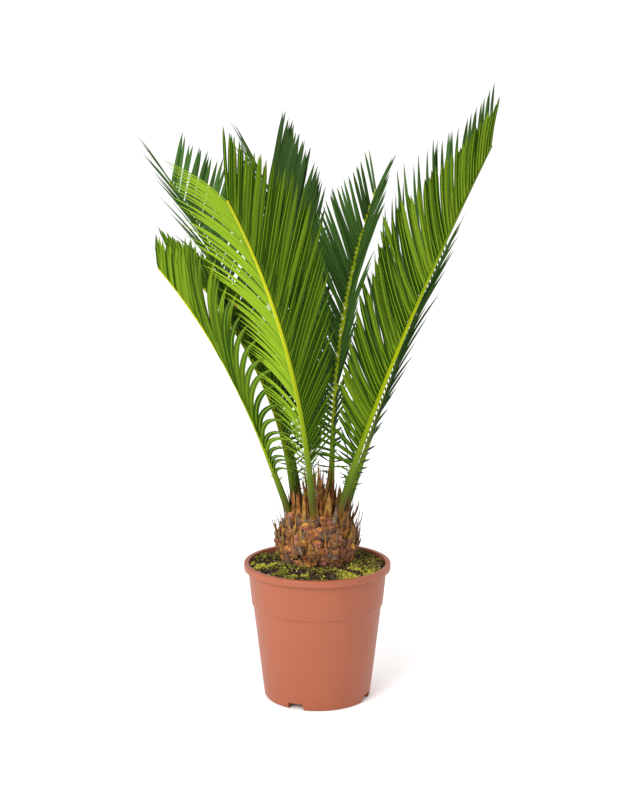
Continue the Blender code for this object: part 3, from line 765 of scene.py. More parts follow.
def blades_mesh(name, blades, section, outline, steps, strips):
    """One mesh of many blades. Each blade's tones say which material its strips take."""
    vertices, quads, tips, block, sides = blade_set(blades, section, outline, steps)
    faces = []
    materials = []
    for index, blade in enumerate(blades):
        offset = index * block
        tones = [blade["tones"][strip] for strip in strips]
        foot_tone = blade.get("foot")
        tip_tone = blade.get("tip")
        rows = [tones] * (len(quads) // sides + 1)
        if foot_tone is not None:
            rows[0] = [foot_tone] * sides
        if tip_tone is not None:
            rows[-1 - DRY_STATIONS:] = [[tip_tone] * sides] * (1 + DRY_STATIONS)
        faces += (quads + offset).tolist()
        faces += [tuple(corner + offset for corner in tip) for tip in tips]
        faces.append(tuple(offset + side for side in range(sides))[::-1])
        materials += [tone for row in rows for tone in row]
        materials.append(tones[-1])
    return mesh_from(name, vertices.tolist(), faces, materials, BLADE_SHARP_DEGREES)


# The fronds


def frond_spine(row, points):
    """Places and local axes (along, side, upper face) at even steps of a frond's rib."""
    azimuth, sweep, lean_foot, lean_tip, bend, length, roll, twist = row[:8]
    share = np.linspace(0.0, 1.0, points)
    lean = np.radians(lean_foot + (lean_tip - lean_foot) * share ** bend)
    around = np.radians(azimuth + sweep * share)
    along = np.stack([np.sin(lean) * np.cos(around), np.sin(lean) * np.sin(around),
                      np.cos(lean)], axis=1)
    foot = np.array([RIB_RING_RADIUS * math.cos(around[0]),
                     RIB_RING_RADIUS * math.sin(around[0]), RIB_FOOT_Z])
    steps = (along[1:] + along[:-1]) / 2 * (length / (points - 1))
    places = np.vstack([foot, foot + np.cumsum(steps, axis=0)])
    level = np.stack([-np.sin(around), np.cos(around), 0.0 * around], axis=1)
    upper = np.cross(along, level)
    turn = np.radians(roll + twist * share)[:, None]
    side = np.cos(turn) * level + np.sin(turn) * upper
    face = np.cos(turn) * upper - np.sin(turn) * level
    return share, places, along, side, face


def rib_radius(share):
    return RIB_FOOT_THICK + (RIB_TIP_THICK - RIB_FOOT_THICK) * share ** RIB_TAPER


def leaf_length(along_blade, factor, tip_loss, full_from):
    rise = FOOT_LENGTH + (1.0 - FOOT_LENGTH) * ease(-0.05, full_from, along_blade)
    fall = 1.0 - tip_loss * ease(0.5, 1.0, along_blade)
    return LEAF_LENGTH * factor * rise * fall


def leaf_angle(along_blade, tip_closing):
    """Degrees between a leaflet and its rib: wide near the stem, narrow at the tip."""
    closing = (FOOT_ANGLE - MIDDLE_ANGLE) * ease(0.0, 0.4, along_blade)
    return FOOT_ANGLE - closing - tip_closing * ease(0.5, 1.0, along_blade)


def segment_gap(start, end, starts, ends):
    """Smallest distance from one segment to each of many."""
    u = end - start
    v = ends - starts
    w = start - starts
    a = float(u @ u)
    b = v @ u
    c = np.einsum("ij,ij->i", v, v)
    d = w @ u
    e = np.einsum("ij,ij->i", v, w)
    spread = np.maximum(a * c - b * b, 1e-18)
    s = np.clip((b * e - c * d) / spread, 0.0, 1.0)
    t = np.clip((b * s + e) / np.maximum(c, 1e-18), 0.0, 1.0)
    s = np.clip((b * t - d) / a, 0.0, 1.0)
    apart = w + s[:, None] * u - t[:, None] * v
    return np.sqrt(np.einsum("ij,ij->i", apart, apart))


def clear_length(root, way, length, starts, ends):
    """The longest tried length at which a leaflet keeps clear of the other fronds' ribs."""
    for share in LENGTH_TRIES:
        if np.all(segment_gap(root, root + way * length * share, starts, ends) > RIB_CLEAR):
            return length * share
    return 0.0


def frond_rib_at(spine, where):
    """Place, rib direction, side direction and upper face at a share of the rib."""
    share, places, along, side, face = spine
    return [np.array([np.interp(where, share, part[:, k]) for k in range(3)])
            for part in (places, along, side, face)]


def leaflet(spine, where, hand, angle, lift, length, width, manner, chance):
    """One leaflet or spine on one side of a rib, arched and turned in its row's manner."""
    arch, hook, droop, turned, taper = manner
    root, rib_way, side_way, up_way = frond_rib_at(spine, where)
    outward = math.cos(lift) * hand * side_way + math.sin(lift) * up_way
    way = unit(math.cos(angle) * rib_way + math.sin(angle) * outward)
    normal = math.cos(lift) * up_way - math.sin(lift) * hand * side_way
    bend = math.radians(hook + chance.normal(0.0, HOOK_JITTER)) * rib_way
    bend = bend - math.radians(arch * chance.uniform(*BEND_JITTER)) * normal
    bend = bend - math.radians(droop * chance.uniform(*BEND_JITTER)) * UP
    bend = bend - way * float(bend @ way)
    tilt = turned + chance.normal(0.0, TILT_JITTER)
    turn = -0.5 * turned + chance.normal(0.0, TURN_JITTER)
    return {
        "root": root + normal * RIB_SEAT * rib_radius(where),
        "way": way,
        "up": normal,
        "length": length,
        "width": width,
        "bend": bend,
        "pivot": 0.5,
        "tilt": math.radians(tilt) * -hand,
        "turn": math.radians(turn) * -hand,
        "taper": taper,
    }


def leaflet_reach(name, hand, along_blade, factor, tip_loss, full_from):
    """A leaflet's length by the solids' rule, shorter at some tips and longer low in some rows."""
    reach = leaf_length(along_blade, factor, tip_loss, full_from)
    reach *= 1.0 - SHORT_TIPS.get(name, 0.0) * ease(0.6, 1.0, along_blade)
    return reach * (1.0 + LONG_LOW.get((name, hand), 0.0) * (1.0 - ease(0.1, 0.5, along_blade)))


def leaflet_way(name, hand, along_blade, way, rib_way):
    """A leaflet's way, which turns aside at some tips and rises low in some rows."""
    turned_on = ease(0.5, 1.0, along_blade) * np.array(TIP_TURN.get(name, NO_TURN))
    upward = LOW_RISE.get((name, hand), 0.0) * ease(0.0, 0.06, along_blade)
    upward = upward * (1.0 - ease(0.06, 0.5, along_blade))
    return unit(way + turned_on + upward * rib_way)


def leaflet_tones(row_upper_shade, row_under_shade, along_blade, chance):
    """Materials of the upper face, under face and midrib. The row's main tones carry painted light
    and shade, and low leaflets get painted shade.
    """
    shaded = round(LOW_SHADE * (1.0 - float(ease(0.08, 0.42, along_blade))))
    upper = int(np.clip(row_upper_shade + chance.integers(-1, 2), 0, UPPER_TONES - 1))
    under = int(np.clip(row_under_shade + shaded + chance.integers(-2, 2), 0, UNDER_TONES - 1))
    return upper, UPPER_TONES + under, MIDRIB_TONE


def frond_blades(name, settings, chance):
    """The leaflets of one frond, by the solids' rule but finer, each with its own arch."""
    row = FRONDS[name]
    spine = frond_spine(row, RIB_STEPS)
    length = row[5]
    factor, opening, tip_loss = row[8:]
    others = [frond_spine(FRONDS[other], RIB_STEPS)[1] for other in FRONDS if other != name]
    starts = np.vstack([rib[:-1] for rib in others])
    ends = np.vstack([rib[1:] for rib in others])
    a_side = round(length * (1.0 - BARE_RIB) / settings.leaflet_spacing)
    hung_hand, hung_pivot, sag, stretch = HANGING.get(name, (0, 0.5, NO_TURN, 1.0))
    blades = []
    for index in range(a_side):
        for hand, manner, fan in zip((1, -1), ROWS[name], FANS[name]):
            arch, hook, droop, broad, turned, taper, row_upper_shade, row_under_shade, lost = manner
            spread, reach_factor, lifted, full_from, closing = fan
            stagger = 0.5 + 0.5 * PAIR_STAGGER * hand
            along_blade = (index + stagger) / a_side
            where = BARE_RIB + (1.0 - BARE_RIB) * along_blade
            lift = math.radians(LEAF_OPEN + opening + lifted + chance.normal(0.0, LIFT_JITTER))
            angle = leaf_angle(along_blade, closing) + spread + chance.normal(0.0, ANGLE_JITTER)
            width = settings.leaflet_width * broad * (0.6 + 0.4 * ease(0.0, 0.25, along_blade))
            width *= 1.0 - 0.3 * ease(0.85, 1.0, along_blade)
            reach = leaflet_reach(name, hand, along_blade, factor * reach_factor, tip_loss,
                                  full_from)
            reach *= chance.uniform(*REACH_JITTER)
            manner = (arch, hook, droop * (1.1 - along_blade), turned, taper)
            blade = leaflet(spine, where, hand, math.radians(angle), lift, reach, width, manner,
                            chance)
            blade["way"] = leaflet_way(name, hand, along_blade, blade["way"],
                                       frond_rib_at(spine, where)[1])
            blade["length"] = clear_length(blade["root"], blade["way"], reach, starts, ends)
            if blade["length"] == 0.0 or chance.random() < lost * settings.lost_share:
                continue
            blade["tones"] = leaflet_tones(row_upper_shade, row_under_shade, along_blade, chance)
            blade["foot"] = BASE_TONE if name in PALE_FEET else None
            if hand == hung_hand:
                blade["pivot"] = hung_pivot
                blade["length"] *= stretch
                blade["bend"] = blade["bend"] + (1.1 - along_blade) * np.array(sag)
            blade["tip"] = DRY_TONE if chance.random() < settings.dry_tip_share else None
            blades.append(blade)
    return blades


def frond_spines(name, settings, chance):
    """The short stiff leaflets below the blade, which shrink to prickles near the stem."""
    row = FRONDS[name]
    spine = frond_spine(row, RIB_STEPS)
    first = SPINES_START.get(name, SPINES_FROM)
    pairs = round(settings.spine_pairs * (BARE_RIB - first) / (BARE_RIB - SPINES_FROM))
    blades = []
    for index in range(pairs):
        for hand in (1, -1):
            share = (index + chance.uniform(0.2, 0.8)) / pairs
            where = first + share * (BARE_RIB - first)
            angle = math.radians(SPINE_ANGLE + chance.normal(0.0, SPINE_ANGLE_JITTER))
            lift = math.radians(SPINE_OPEN + row[9] + chance.normal(0.0, SPINE_LIFT_JITTER))
            length = SPINE_LENGTHS[0] + share ** 1.5 * (SPINE_LENGTHS[1] - SPINE_LENGTHS[0])
            blade = leaflet(spine, where, hand, angle, lift, length * chance.uniform(0.75, 1.15),
                            SPINE_WIDTH * (0.7 + 0.5 * share), SPINE_MANNER, chance)
            blade["tones"] = SPINE_TONES
            blades.append(blade)
    return blades


def leaf_material(name, colour, roughness, gloss_mm):
    """Living leaf skin: plain colour, a waxy sheen that varies, and a fine bumpy grain."""
    material, tree, shader = shader_material(name, colour, roughness, LEAF_SPECULAR)
    patch = object_noise(tree, gloss_mm, 3.0)
    roughen(tree, shader, patch.outputs["Fac"], roughness - 0.08, roughness + 0.1)
    grain = object_noise(tree, 0.7, 2.0)
    emboss(tree, shader, grain.outputs["Fac"], 0.05, 0.5)
    return material


def leaf_materials(settings):
    """Upper tones, under tones, midrib, leaflet base and dry tip, in the blades' order. The upper
    and under tones are lit and shaded copies: painted light and painted shade.
    """
    made = []
    # Each upper tone is the upper colour scaled darker or lighter: painted shade and painted light
    for index, share in enumerate(UPPER_PAINTED_SHADES):
        shade = (*[channel * share for channel in settings.upper_colour[:3]], 1.0)
        made.append(leaf_material("leaf_skin_upper_tone_and_shade_%d" % (index + 1), shade, 0.42, 14.0))
    # The under tones run from the lit colour to the shaded one: painted light and painted shade
    dark = settings.under_shaded_colour
    light = settings.under_lit_colour
    for index in range(UNDER_TONES):
        share = index / (UNDER_TONES - 1)
        shade = [low + share * (high - low) for low, high in zip(light[:3], dark[:3])]
        made.append(leaf_material("leaf_skin_under_tone_and_shade_%d" % (index + 1), (*shade, 1.0), 0.5, 14.0))
    made.append(leaf_material("leaf_midrib_skin", tuple(settings.midrib_colour), 0.5, 9.0))
    made.append(leaf_material("leaflet_base_skin", tuple(settings.base_colour), 0.5, 9.0))
    made.append(leaf_material("dry_leaf_tip", linear(DRY_TIP_COLOUR), 0.7, 9.0))
    return made


def rib_material(settings):
    """Frond stalk skin: brown wool at the foot, then green, then waxy yellow-green."""
    material, tree, shader = shader_material("frond_stalk_skin", settings.base_colour, 0.42, 0.06)
    share = add_node(tree, "ShaderNodeAttribute", attribute_name="share")
    wobble = object_noise(tree, 7.0, 4.0, (1.0, 1.0, 0.3))
    lift = add_node(tree, "ShaderNodeMath", {0: wobble.outputs["Fac"], 1: 0.06},
                    operation="MULTIPLY")
    blend = add_node(tree, "ShaderNodeMath", {0: share.outputs["Fac"], 1: lift.outputs["Value"]},
                     operation="ADD")
    colour = colour_ramp(tree, blend.outputs["Value"], RIB_COLOURS)
    tree.links.new(colour, shader.inputs["Base Color"])
    streak = object_noise(tree, 1.1, 3.0, (1.0, 1.0, 0.12))
    roughen(tree, shader, streak.outputs["Fac"], 0.34, 0.56)
    emboss(tree, shader, streak.outputs["Fac"], 0.12, 0.5)
    return material


def sweep_tree():
    """Sweeps a round section along edges, as wide as their radius says."""
    tree, given, result = node_tree_with_inputs(
        "swept_stalk", (("Sides", "NodeSocketInt"), ("Flatness", "NodeSocketFloat"),
                        ("Skin", "NodeSocketMaterial")))
    thick, up = kept_values(tree, (("thick", "FLOAT"), ("up", "FLOAT_VECTOR")))
    curve = add_node(tree, "GeometryNodeMeshToCurve", {"Mesh": given.outputs["Geometry"]})
    normal = add_node(tree, "GeometryNodeSetCurveNormal",
                      {"Curve": curve.outputs["Curve"], "Normal": up}, mode="FREE")
    circle = add_node(tree, "GeometryNodeCurvePrimitiveCircle",
                      {"Resolution": given.outputs["Sides"], "Radius": 1.0})
    size = add_node(tree, "ShaderNodeCombineXYZ", {"X": 1.0, "Y": given.outputs["Flatness"],
                                                   "Z": 1.0})
    section = add_node(tree, "GeometryNodeTransform",
                       {"Geometry": circle.outputs["Curve"], "Scale": size.outputs["Vector"]})
    swept = add_node(tree, "GeometryNodeCurveToMesh",
                     {"Curve": normal.outputs["Curve"],
                      "Profile Curve": section.outputs["Geometry"],
                      "Scale": thick, "Fill Caps": True})
    real = add_node(tree, "GeometryNodeRealizeInstances", {"Geometry": swept.outputs["Mesh"]})
    skin = add_node(tree, "GeometryNodeSetMaterial",
                    {"Geometry": real.outputs["Geometry"], "Material": given.outputs["Skin"]})
    tree.links.new(skin.outputs["Geometry"], result.inputs["Geometry"])
    return tree


def rib_guide(name):
    """A rib's middle line as edges, with its thickness, up direction and share along it."""
    share, places, along, side, face = frond_spine(FRONDS[name], RIB_STEPS)
    mesh = bpy.data.meshes.new(name + "_guide")
    edges = [(index, index + 1) for index in range(RIB_STEPS - 1)]
    mesh.from_pydata(places.tolist(), edges, [])
    slim = RIB_SLIM.get(name, RIB_SLIMNESS)
    swelling = 1.0 + 0.15 * (1.0 - ease(0.0, 0.05, share)) - (1.0 - slim) * ease(0.1, 0.4, share)
    tone = share - RIB_GREEN.get(name, 0.0) * ease(0.4, 1.0, share)
    set_attribute(mesh, "thick", "FLOAT", rib_radius(share) * swelling)
    set_attribute(mesh, "share", "FLOAT", tone)
    set_attribute(mesh, "up", "FLOAT_VECTOR", face)
    return linked_object(name + "_guide", mesh)


# The stem


def stem_radius(height):
    """The stem's own radius: a foot, a swelling and a domed crown."""
    foot_z = MOUND_Z + TOUCH_GAP
    rising = STEM_FOOT_RADIUS + (STEM_RADIUS - STEM_FOOT_RADIUS) * ease(
        foot_z, STEM_WIDEST_Z, height)
    falling = STEM_RADIUS + (CROWN_RADIUS - STEM_RADIUS) * ease(STEM_WIDEST_Z, CROWN_Z, height)
    return np.where(np.asarray(height) <= STEM_WIDEST_Z, rising, falling)


def outward_at(azimuth):
    return np.array([math.cos(azimuth), math.sin(azimuth), 0.0])


def across_at(azimuth):
    return np.array([-math.sin(azimuth), math.cos(azimuth), 0.0])


def stem_core_mesh():
    """The stem under its leaf bases: a lumpy, closed body."""
    heights = np.linspace(MOUND_Z + TOUCH_GAP, CROWN_Z, STEM_RINGS)
    profile = [(POLE_RADIUS, heights[0])]
    profile += [(float(stem_radius(height)) - STEM_INSET, height) for height in heights]
    profile += CROWN_PROFILE
    vertices, faces = lathe(profile, STEM_STEPS)
    for vertex in vertices:
        place = Vector(vertex)
        if place.z > STEM_LUMPS_FROM_Z:
            lump = noise.fractal(place * STEM_LUMPS_A_METRE, 0.9, 2.1, 4)
            vertex += outward_at(math.atan2(vertex[1], vertex[0])) * lump * STEM_LUMP
    return mesh_from("stem_core", vertices.tolist(), faces)


def leaf_base_shape(name, rings, point):
    """One old leaf base: a rhombic cushion of depth and size pairs, its end flagged as cut."""
    around = BASE_SIDES
    loops = []
    shape = bmesh.new()
    cut = shape.faces.layers.bool.new("cut")
    for depth, size in rings:
        loop = []
        for step in range(around):
            angle = math.tau * step / around
            x = math.copysign(abs(math.cos(angle)) ** BASE_SQUARENESS, math.cos(angle)) * size
            y = math.copysign(abs(math.sin(angle)) ** BASE_SQUARENESS, math.sin(angle)) * size
            loop.append(shape.verts.new((x, y + BASE_POINT_RISE * (1.0 - size), depth)))
        loops.append(loop)
    centre = shape.verts.new((0.0, BASE_POINT_RISE, point))
    for number, (lower, upper) in enumerate(zip(loops, loops[1:])):
        for step in range(around):
            beside = (step + 1) % around
            face = shape.faces.new((lower[step], lower[beside], upper[beside], upper[step]))
            face[cut] = number >= len(loops) - 2
    for step in range(around):
        face = shape.faces.new((loops[-1][step], loops[-1][(step + 1) % around], centre))
        face[cut] = True
    shape.faces.new(loops[0][::-1])
    return bpy.data.objects.new(name, finished_mesh(name, shape))


def points_object(name, spots):
    """Points with a rotation, a size and a shape's number each, for the scatter tree."""
    mesh = bpy.data.meshes.new(name)
    mesh.from_pydata([tuple(spot["place"]) for spot in spots], [], [])
    for label, kind in (("turn", "FLOAT_VECTOR"), ("size", "FLOAT_VECTOR"), ("shape", "INT")):
        set_attribute(mesh, label, kind, [spot[label] for spot in spots])
    return linked_object(name, mesh)


def scatter_tree():
    """Puts one of a collection's shapes on each point, by its turn, size and shape, wears
    every copy a little differently and gives it a skin, with another on faces marked cut."""
    tree, given, result = node_tree_with_inputs(
        "dealt_shapes", (("Shapes", "NodeSocketCollection"), ("Wear", "NodeSocketFloat"),
                         ("Wear scale", "NodeSocketFloat"), ("Skin", "NodeSocketMaterial"),
                         ("Cut skin", "NodeSocketMaterial")))
    turn, size, number, cut = kept_values(tree, (
        ("turn", "FLOAT_VECTOR"), ("size", "FLOAT_VECTOR"), ("shape", "INT"), ("cut", "BOOLEAN")))
    shapes = add_node(tree, "GeometryNodeCollectionInfo",
                      {"Collection": given.outputs["Shapes"], "Separate Children": True,
                       "Reset Children": True})
    rotation = add_node(tree, "FunctionNodeEulerToRotation", {"Euler": turn})
    placed = add_node(tree, "GeometryNodeInstanceOnPoints",
                      {"Points": given.outputs["Geometry"], "Instance": shapes.outputs[0],
                       "Pick Instance": True, "Instance Index": number,
                       "Rotation": rotation.outputs["Rotation"], "Scale": size})
    real = add_node(tree, "GeometryNodeRealizeInstances",
                    {"Geometry": placed.outputs["Instances"]})
    wear = add_node(tree, "ShaderNodeTexNoise",
                    {"Scale": given.outputs["Wear scale"], "Detail": 2.0})
    centred = add_node(tree, "ShaderNodeVectorMath",
                       {0: wear.outputs["Color"], 1: (0.5, 0.5, 0.5)}, operation="SUBTRACT")
    shift = add_node(tree, "ShaderNodeVectorMath",
                     {0: centred.outputs["Vector"], "Scale": given.outputs["Wear"]},
                     operation="SCALE")
    moved = add_node(tree, "GeometryNodeSetPosition",
                     {"Geometry": real.outputs["Geometry"], "Offset": shift.outputs["Vector"]})
    skinned = add_node(tree, "GeometryNodeSetMaterial",
                       {"Geometry": moved.outputs["Geometry"], "Material": given.outputs["Skin"]})
    finished = add_node(tree, "GeometryNodeSetMaterial",
                        {"Geometry": skinned.outputs["Geometry"],
                         "Selection": cut, "Material": given.outputs["Cut skin"]})
    tree.links.new(finished.outputs["Geometry"], result.inputs["Geometry"])
    return tree


def deal_pieces(node, spots, shapes, skins, wear, wear_mm):
    """A piece for each skin: its own spots, with the shapes set on them."""
    tree = scatter_tree()
    collection = bpy.data.collections.new(node + "_shapes")
    for shape in shapes:
        collection.objects.link(shape)
    for index, (name, skin, cut_skin) in enumerate(skins):
        points = points_object(name, [spot for spot in spots if spot["skin"] == index])
        mesh = grown_mesh(points, tree, {
            "Shapes": collection, "Wear": wear, "Wear scale": per_mm(wear_mm), "Skin": skin,
            "Cut skin": cut_skin})
        mesh.shade_smooth()
        mesh.set_sharp_from_angle(angle=math.radians(GROWN_SHARP_DEGREES))
        add_piece(name, mesh, node)
    for shape in shapes:
        bpy.data.objects.remove(shape)
    bpy.data.collections.remove(collection)


def aim_turn(direction, across):
    """Euler turn whose Z axis is the direction and whose X axis lies near the across vector."""
    z_axis = Vector(direction).normalized()
    x_axis = (Vector(across) - z_axis * z_axis.dot(Vector(across))).normalized()
    y_axis = z_axis.cross(x_axis)
    return Matrix((x_axis, y_axis, z_axis)).transposed().to_euler()


def woody_material(name):
    """Dry or mossy tissue, made once: blotched between two colours, matt, with a fibrous relief."""
    if name in bpy.data.materials:
        return bpy.data.materials[name]
    dark, light, size_mm, depth_mm = TISSUES[name]
    material, tree, shader = shader_material(name, linear(light), 0.8, 0.2)
    blotch = object_noise(tree, size_mm, 5.0)
    colour = colour_ramp(tree, blotch.outputs["Fac"], ((0.36, dark), (0.64, light)))
    tree.links.new(colour, shader.inputs["Base Color"])
    fibre = object_noise(tree, 1.0, 4.0, (1.0, 1.0, 0.25))
    emboss(tree, shader, fibre.outputs["Fac"], depth_mm, 0.8)
    return material


def woody_pieces(rows):
    """Each piece's name with its skin and the skin of its cut faces, which may be the same."""
    return [(row[0], woody_material(row[1]), woody_material(row[-1])) for row in rows]


def leaf_base_spots(settings, chance):
    """Staggered, jittered rows of old leaf bases that overlap like roof tiles."""
    rows = settings.scale_rows
    a_row = settings.scales_a_row
    foot_z = MOUND_Z + BASE_FIRST_RISE
    top_z = CROWN_Z - BASE_LAST_DROP
    spots = []
    for row in range(rows):
        share = row / (rows - 1)
        height = foot_z + share * (top_z - foot_z)
        rise = math.radians(BASE_FOOT_TILT + BASE_MORE_TILT * share ** 1.1)
        for step in range(a_row):
            stray = chance.uniform(*BASE_STEP_JITTER)
            azimuth = math.tau * (step + 0.5 * (row % 2) + stray) / a_row
            out = outward_at(azimuth)
            across = across_at(azimuth)
            tilt = rise + math.radians(chance.normal(0.0, BASE_TILT_JITTER))
            direction = out * math.cos(tilt) + np.array([0.0, 0.0, math.sin(tilt)])
            direction = direction + BASE_SWAY * chance.normal() * across
            tall = height + chance.uniform(-BASE_STRAY, BASE_STRAY)
            width = BASE_WIDTH * chance.uniform(*BASE_WIDTHS)
            spots.append({
                "place": out * (float(stem_radius(tall)) - BASE_SUNK) + tall * UP,
                "turn": tuple(aim_turn(direction, across + BASE_TWIST * chance.normal() * UP)),
                "size": (width, width * chance.uniform(*BASE_THICKS),
                         BASE_DEPTH * chance.uniform(*BASE_DEPTHS)),
                "shape": int(chance.integers(0, 3)),
                "skin": int(chance.choice(4, p=BASE_SKIN_SHARES)),
            })
    return spots


def dry_blade(root, way, out, length, width, arch, taper, chance, shares):
    """A dead scale or spear: its up side turned outward, its tone dealt by shares."""
    normal = unit(out - way * float(out @ way))
    return {
        "root": root, "way": way, "up": normal, "length": length, "width": width,
        "bend": arch * normal, "pivot": 0.5, "tilt": chance.normal() * 0.25,
        "turn": chance.normal() * 0.4, "taper": taper,
        "tones": (int(chance.choice(len(shares), p=shares)),),
    }


def spear(kind, azimuth, ring, height, lean, chance, stretch=1.0):
    """A dry blade of one kind at a place round the stem's axis, which leans outward."""
    lengths, widths, arches, shares, taper = SCALE_KINDS[kind]
    length = chance.uniform(*lengths) * stretch
    width = chance.uniform(*widths)
    arch = math.radians(chance.uniform(*arches))
    out = outward_at(azimuth)
    way = unit(out * math.sin(lean) + UP * math.cos(lean)
               + SPEAR_SWAY * chance.normal() * across_at(azimuth))
    return dry_blade(out * ring + UP * height, way, out, length, width, arch, taper, chance,
                     shares)


def dry_scales(settings, chance):
    """Dead scales: bracts pressed to the stem, shaggy sides, crown spears and a middle cone."""
    blades = []
    for index in range(settings.bract_count):
        height = MOUND_Z + BRACT_FIRST_RISE + BRACT_REACH * chance.random()
        share = (height - MOUND_Z) / (CROWN_Z - MOUND_Z)
        lean = math.radians(chance.uniform(*SCALE_LEANS["bract"]) - BRACT_LEAN_LOST * share)
        blades.append(spear("bract", math.tau * chance.random(),
                            float(stem_radius(height)) + BRACT_SEAT, height - ROOT_DEPTH, lean,
                            chance))
    for index in range(settings.shred_count):
        side = chance.random()
        azimuth = chance.normal(*SHAGGY_RIGHT if side < SHRED_RIGHT_SHARE else SHAGGY_LEFT)
        height = MOUND_Z + SHRED_FIRST_RISE + SHRED_REACH * chance.random() ** 0.8
        lean = math.radians(chance.uniform(*SCALE_LEANS["shred"]))
        blades.append(spear("shred", math.radians(azimuth),
                            float(stem_radius(height)) + SHRED_SEAT, height - ROOT_DEPTH, lean,
                            chance))
    for index in range(settings.crown_scale_count):
        azimuth = math.tau * (index + chance.random()) / settings.crown_scale_count
        ring = chance.uniform(*CROWN_RINGS)
        lean = math.radians(chance.uniform(*SCALE_LEANS["crown"])
                            + CROWN_SPREAD * max(ring - CROWN_UPRIGHT_RING, 0.0))
        blades.append(spear("crown", azimuth, ring, CROWN_Z - CROWN_ROOT_DEPTH, lean, chance))
    for index in range(settings.cataphyll_count):
        azimuth = math.tau * (index + chance.random()) / settings.cataphyll_count
        lean = math.radians(chance.uniform(*SCALE_LEANS["cataphyll"]))
        blades.append(spear("cataphyll", azimuth, chance.uniform(*CATAPHYLL_RINGS),
                            CROWN_Z - CATAPHYLL_ROOT_DEPTH, lean, chance))
    for index in range(settings.edge_spear_count):
        azimuth = (0 if index % 3 else 180) + chance.normal(0.0, EDGE_AZIMUTH_JITTER)
        height = chance.uniform(*EDGE_HEIGHTS)
        lean = math.radians(chance.uniform(*SCALE_LEANS["edge"]))
        blades.append(spear("edge", math.radians(azimuth),
                            float(stem_radius(height)) + EDGE_SEAT, height, lean, chance))
    for index in range(settings.cone_scale_count):
        azimuth = math.tau * (index + chance.random()) / settings.cone_scale_count
        ring = CONE_FIRST_RING + CONE_REACH * chance.random()
        lean = math.radians(chance.uniform(*SCALE_LEANS["cone"]) + CONE_SPREAD * ring)
        blades.append(spear("cone", azimuth, ring, CROWN_Z, lean, chance,
                            CONE_STRETCH - CONE_SHORTER * ring))
    return blades


def fibres(settings, chance):
    """Loose hairs and shreds between the leaf bases."""
    blades = []
    for index in range(settings.fibre_count):
        azimuth = math.tau * chance.random()
        height = MOUND_Z + FIBRE_FIRST_RISE + FIBRE_REACH * chance.random()
        out = outward_at(azimuth)
        way = unit(out * chance.uniform(*FIBRE_OUT) + UP * chance.uniform(*FIBRE_UP)
                   + across_at(azimuth) * chance.normal() * FIBRE_SWAY)
        root = out * (float(stem_radius(height)) + BRACT_SEAT) + UP * height
        blade = dry_blade(root, way, out, chance.uniform(*FIBRE_LENGTHS),
                          chance.uniform(*FIBRE_WIDTHS), 0.0, FIBRE_TAPER, chance, FIBRE_SHARES)
        blade["bend"] = chance.normal(size=3) * FIBRE_CURL
        blades.append(blade)
    return blades


# The soil

SOIL_RADIUS = wall_radius(SOIL_EDGE_Z) - WALL - TOUCH_GAP
# Between which radii crumbs and tufts lie, how many crumbs full moss hides, and how often a
# tuft is yellow outside and inside the yellow patches
SPOTS_FROM = STEM_FOOT_RADIUS - 0.004
SPOTS_TO = SOIL_RADIUS - 0.002
MOSS_HIDES = 0.75
YELLOW_CHANCE = 0.12
YELLOW_PATCH_CHANCE = 1.8
# How fine the soil's crumbs, lumps and moss patches are, as noise cells a metre
CRUMBS_A_METRE = 260.0
LUMPS_A_METRE = 70.0
PATCHES_A_METRE = 62.0
# How much moss covers the middle, and how much more it covers a metre to the front and right
MOSS_EVERYWHERE = 0.06
MOSS_TO_FRONT = 1.3
MOSS_TO_RIGHT = 1.6


def soil_height(radius):
    return np.interp(radius, (0.0, MOUND_RADIUS, MOUND_FOOT_RADIUS, SOIL_RADIUS),
                     (MOUND_Z, MOUND_Z, MOUND_FOOT_Z + 0.4 * SOIL_RISE, SOIL_EDGE_Z + SOIL_RISE))


def soil_lump(x, y):
    return SOIL_LUMP * noise.noise(Vector((x, y, 0.3)) * LUMPS_A_METRE)


def moss_share(x, y):
    """Where moss covers the soil: ragged patches by a noise, thickest at front and right."""
    place = Vector((x * PATCHES_A_METRE + 3.1, y * PATCHES_A_METRE - 7.7, 0.6))
    patch = noise.fractal(place, 0.8, 2.2, 4)
    bias = MOSS_EVERYWHERE - MOSS_TO_FRONT * y + MOSS_TO_RIGHT * max(x, 0.0)
    return float(ease(-0.05, 0.30, patch + bias))


def moss_yellow(x, y):
    """Where the moss is its yellowest, from 0 to 1."""
    return max(0.0, *(strength - math.hypot(x - spot_x, y - spot_y) / reach
                      for spot_x, spot_y, strength, reach in YELLOW_PATCHES))


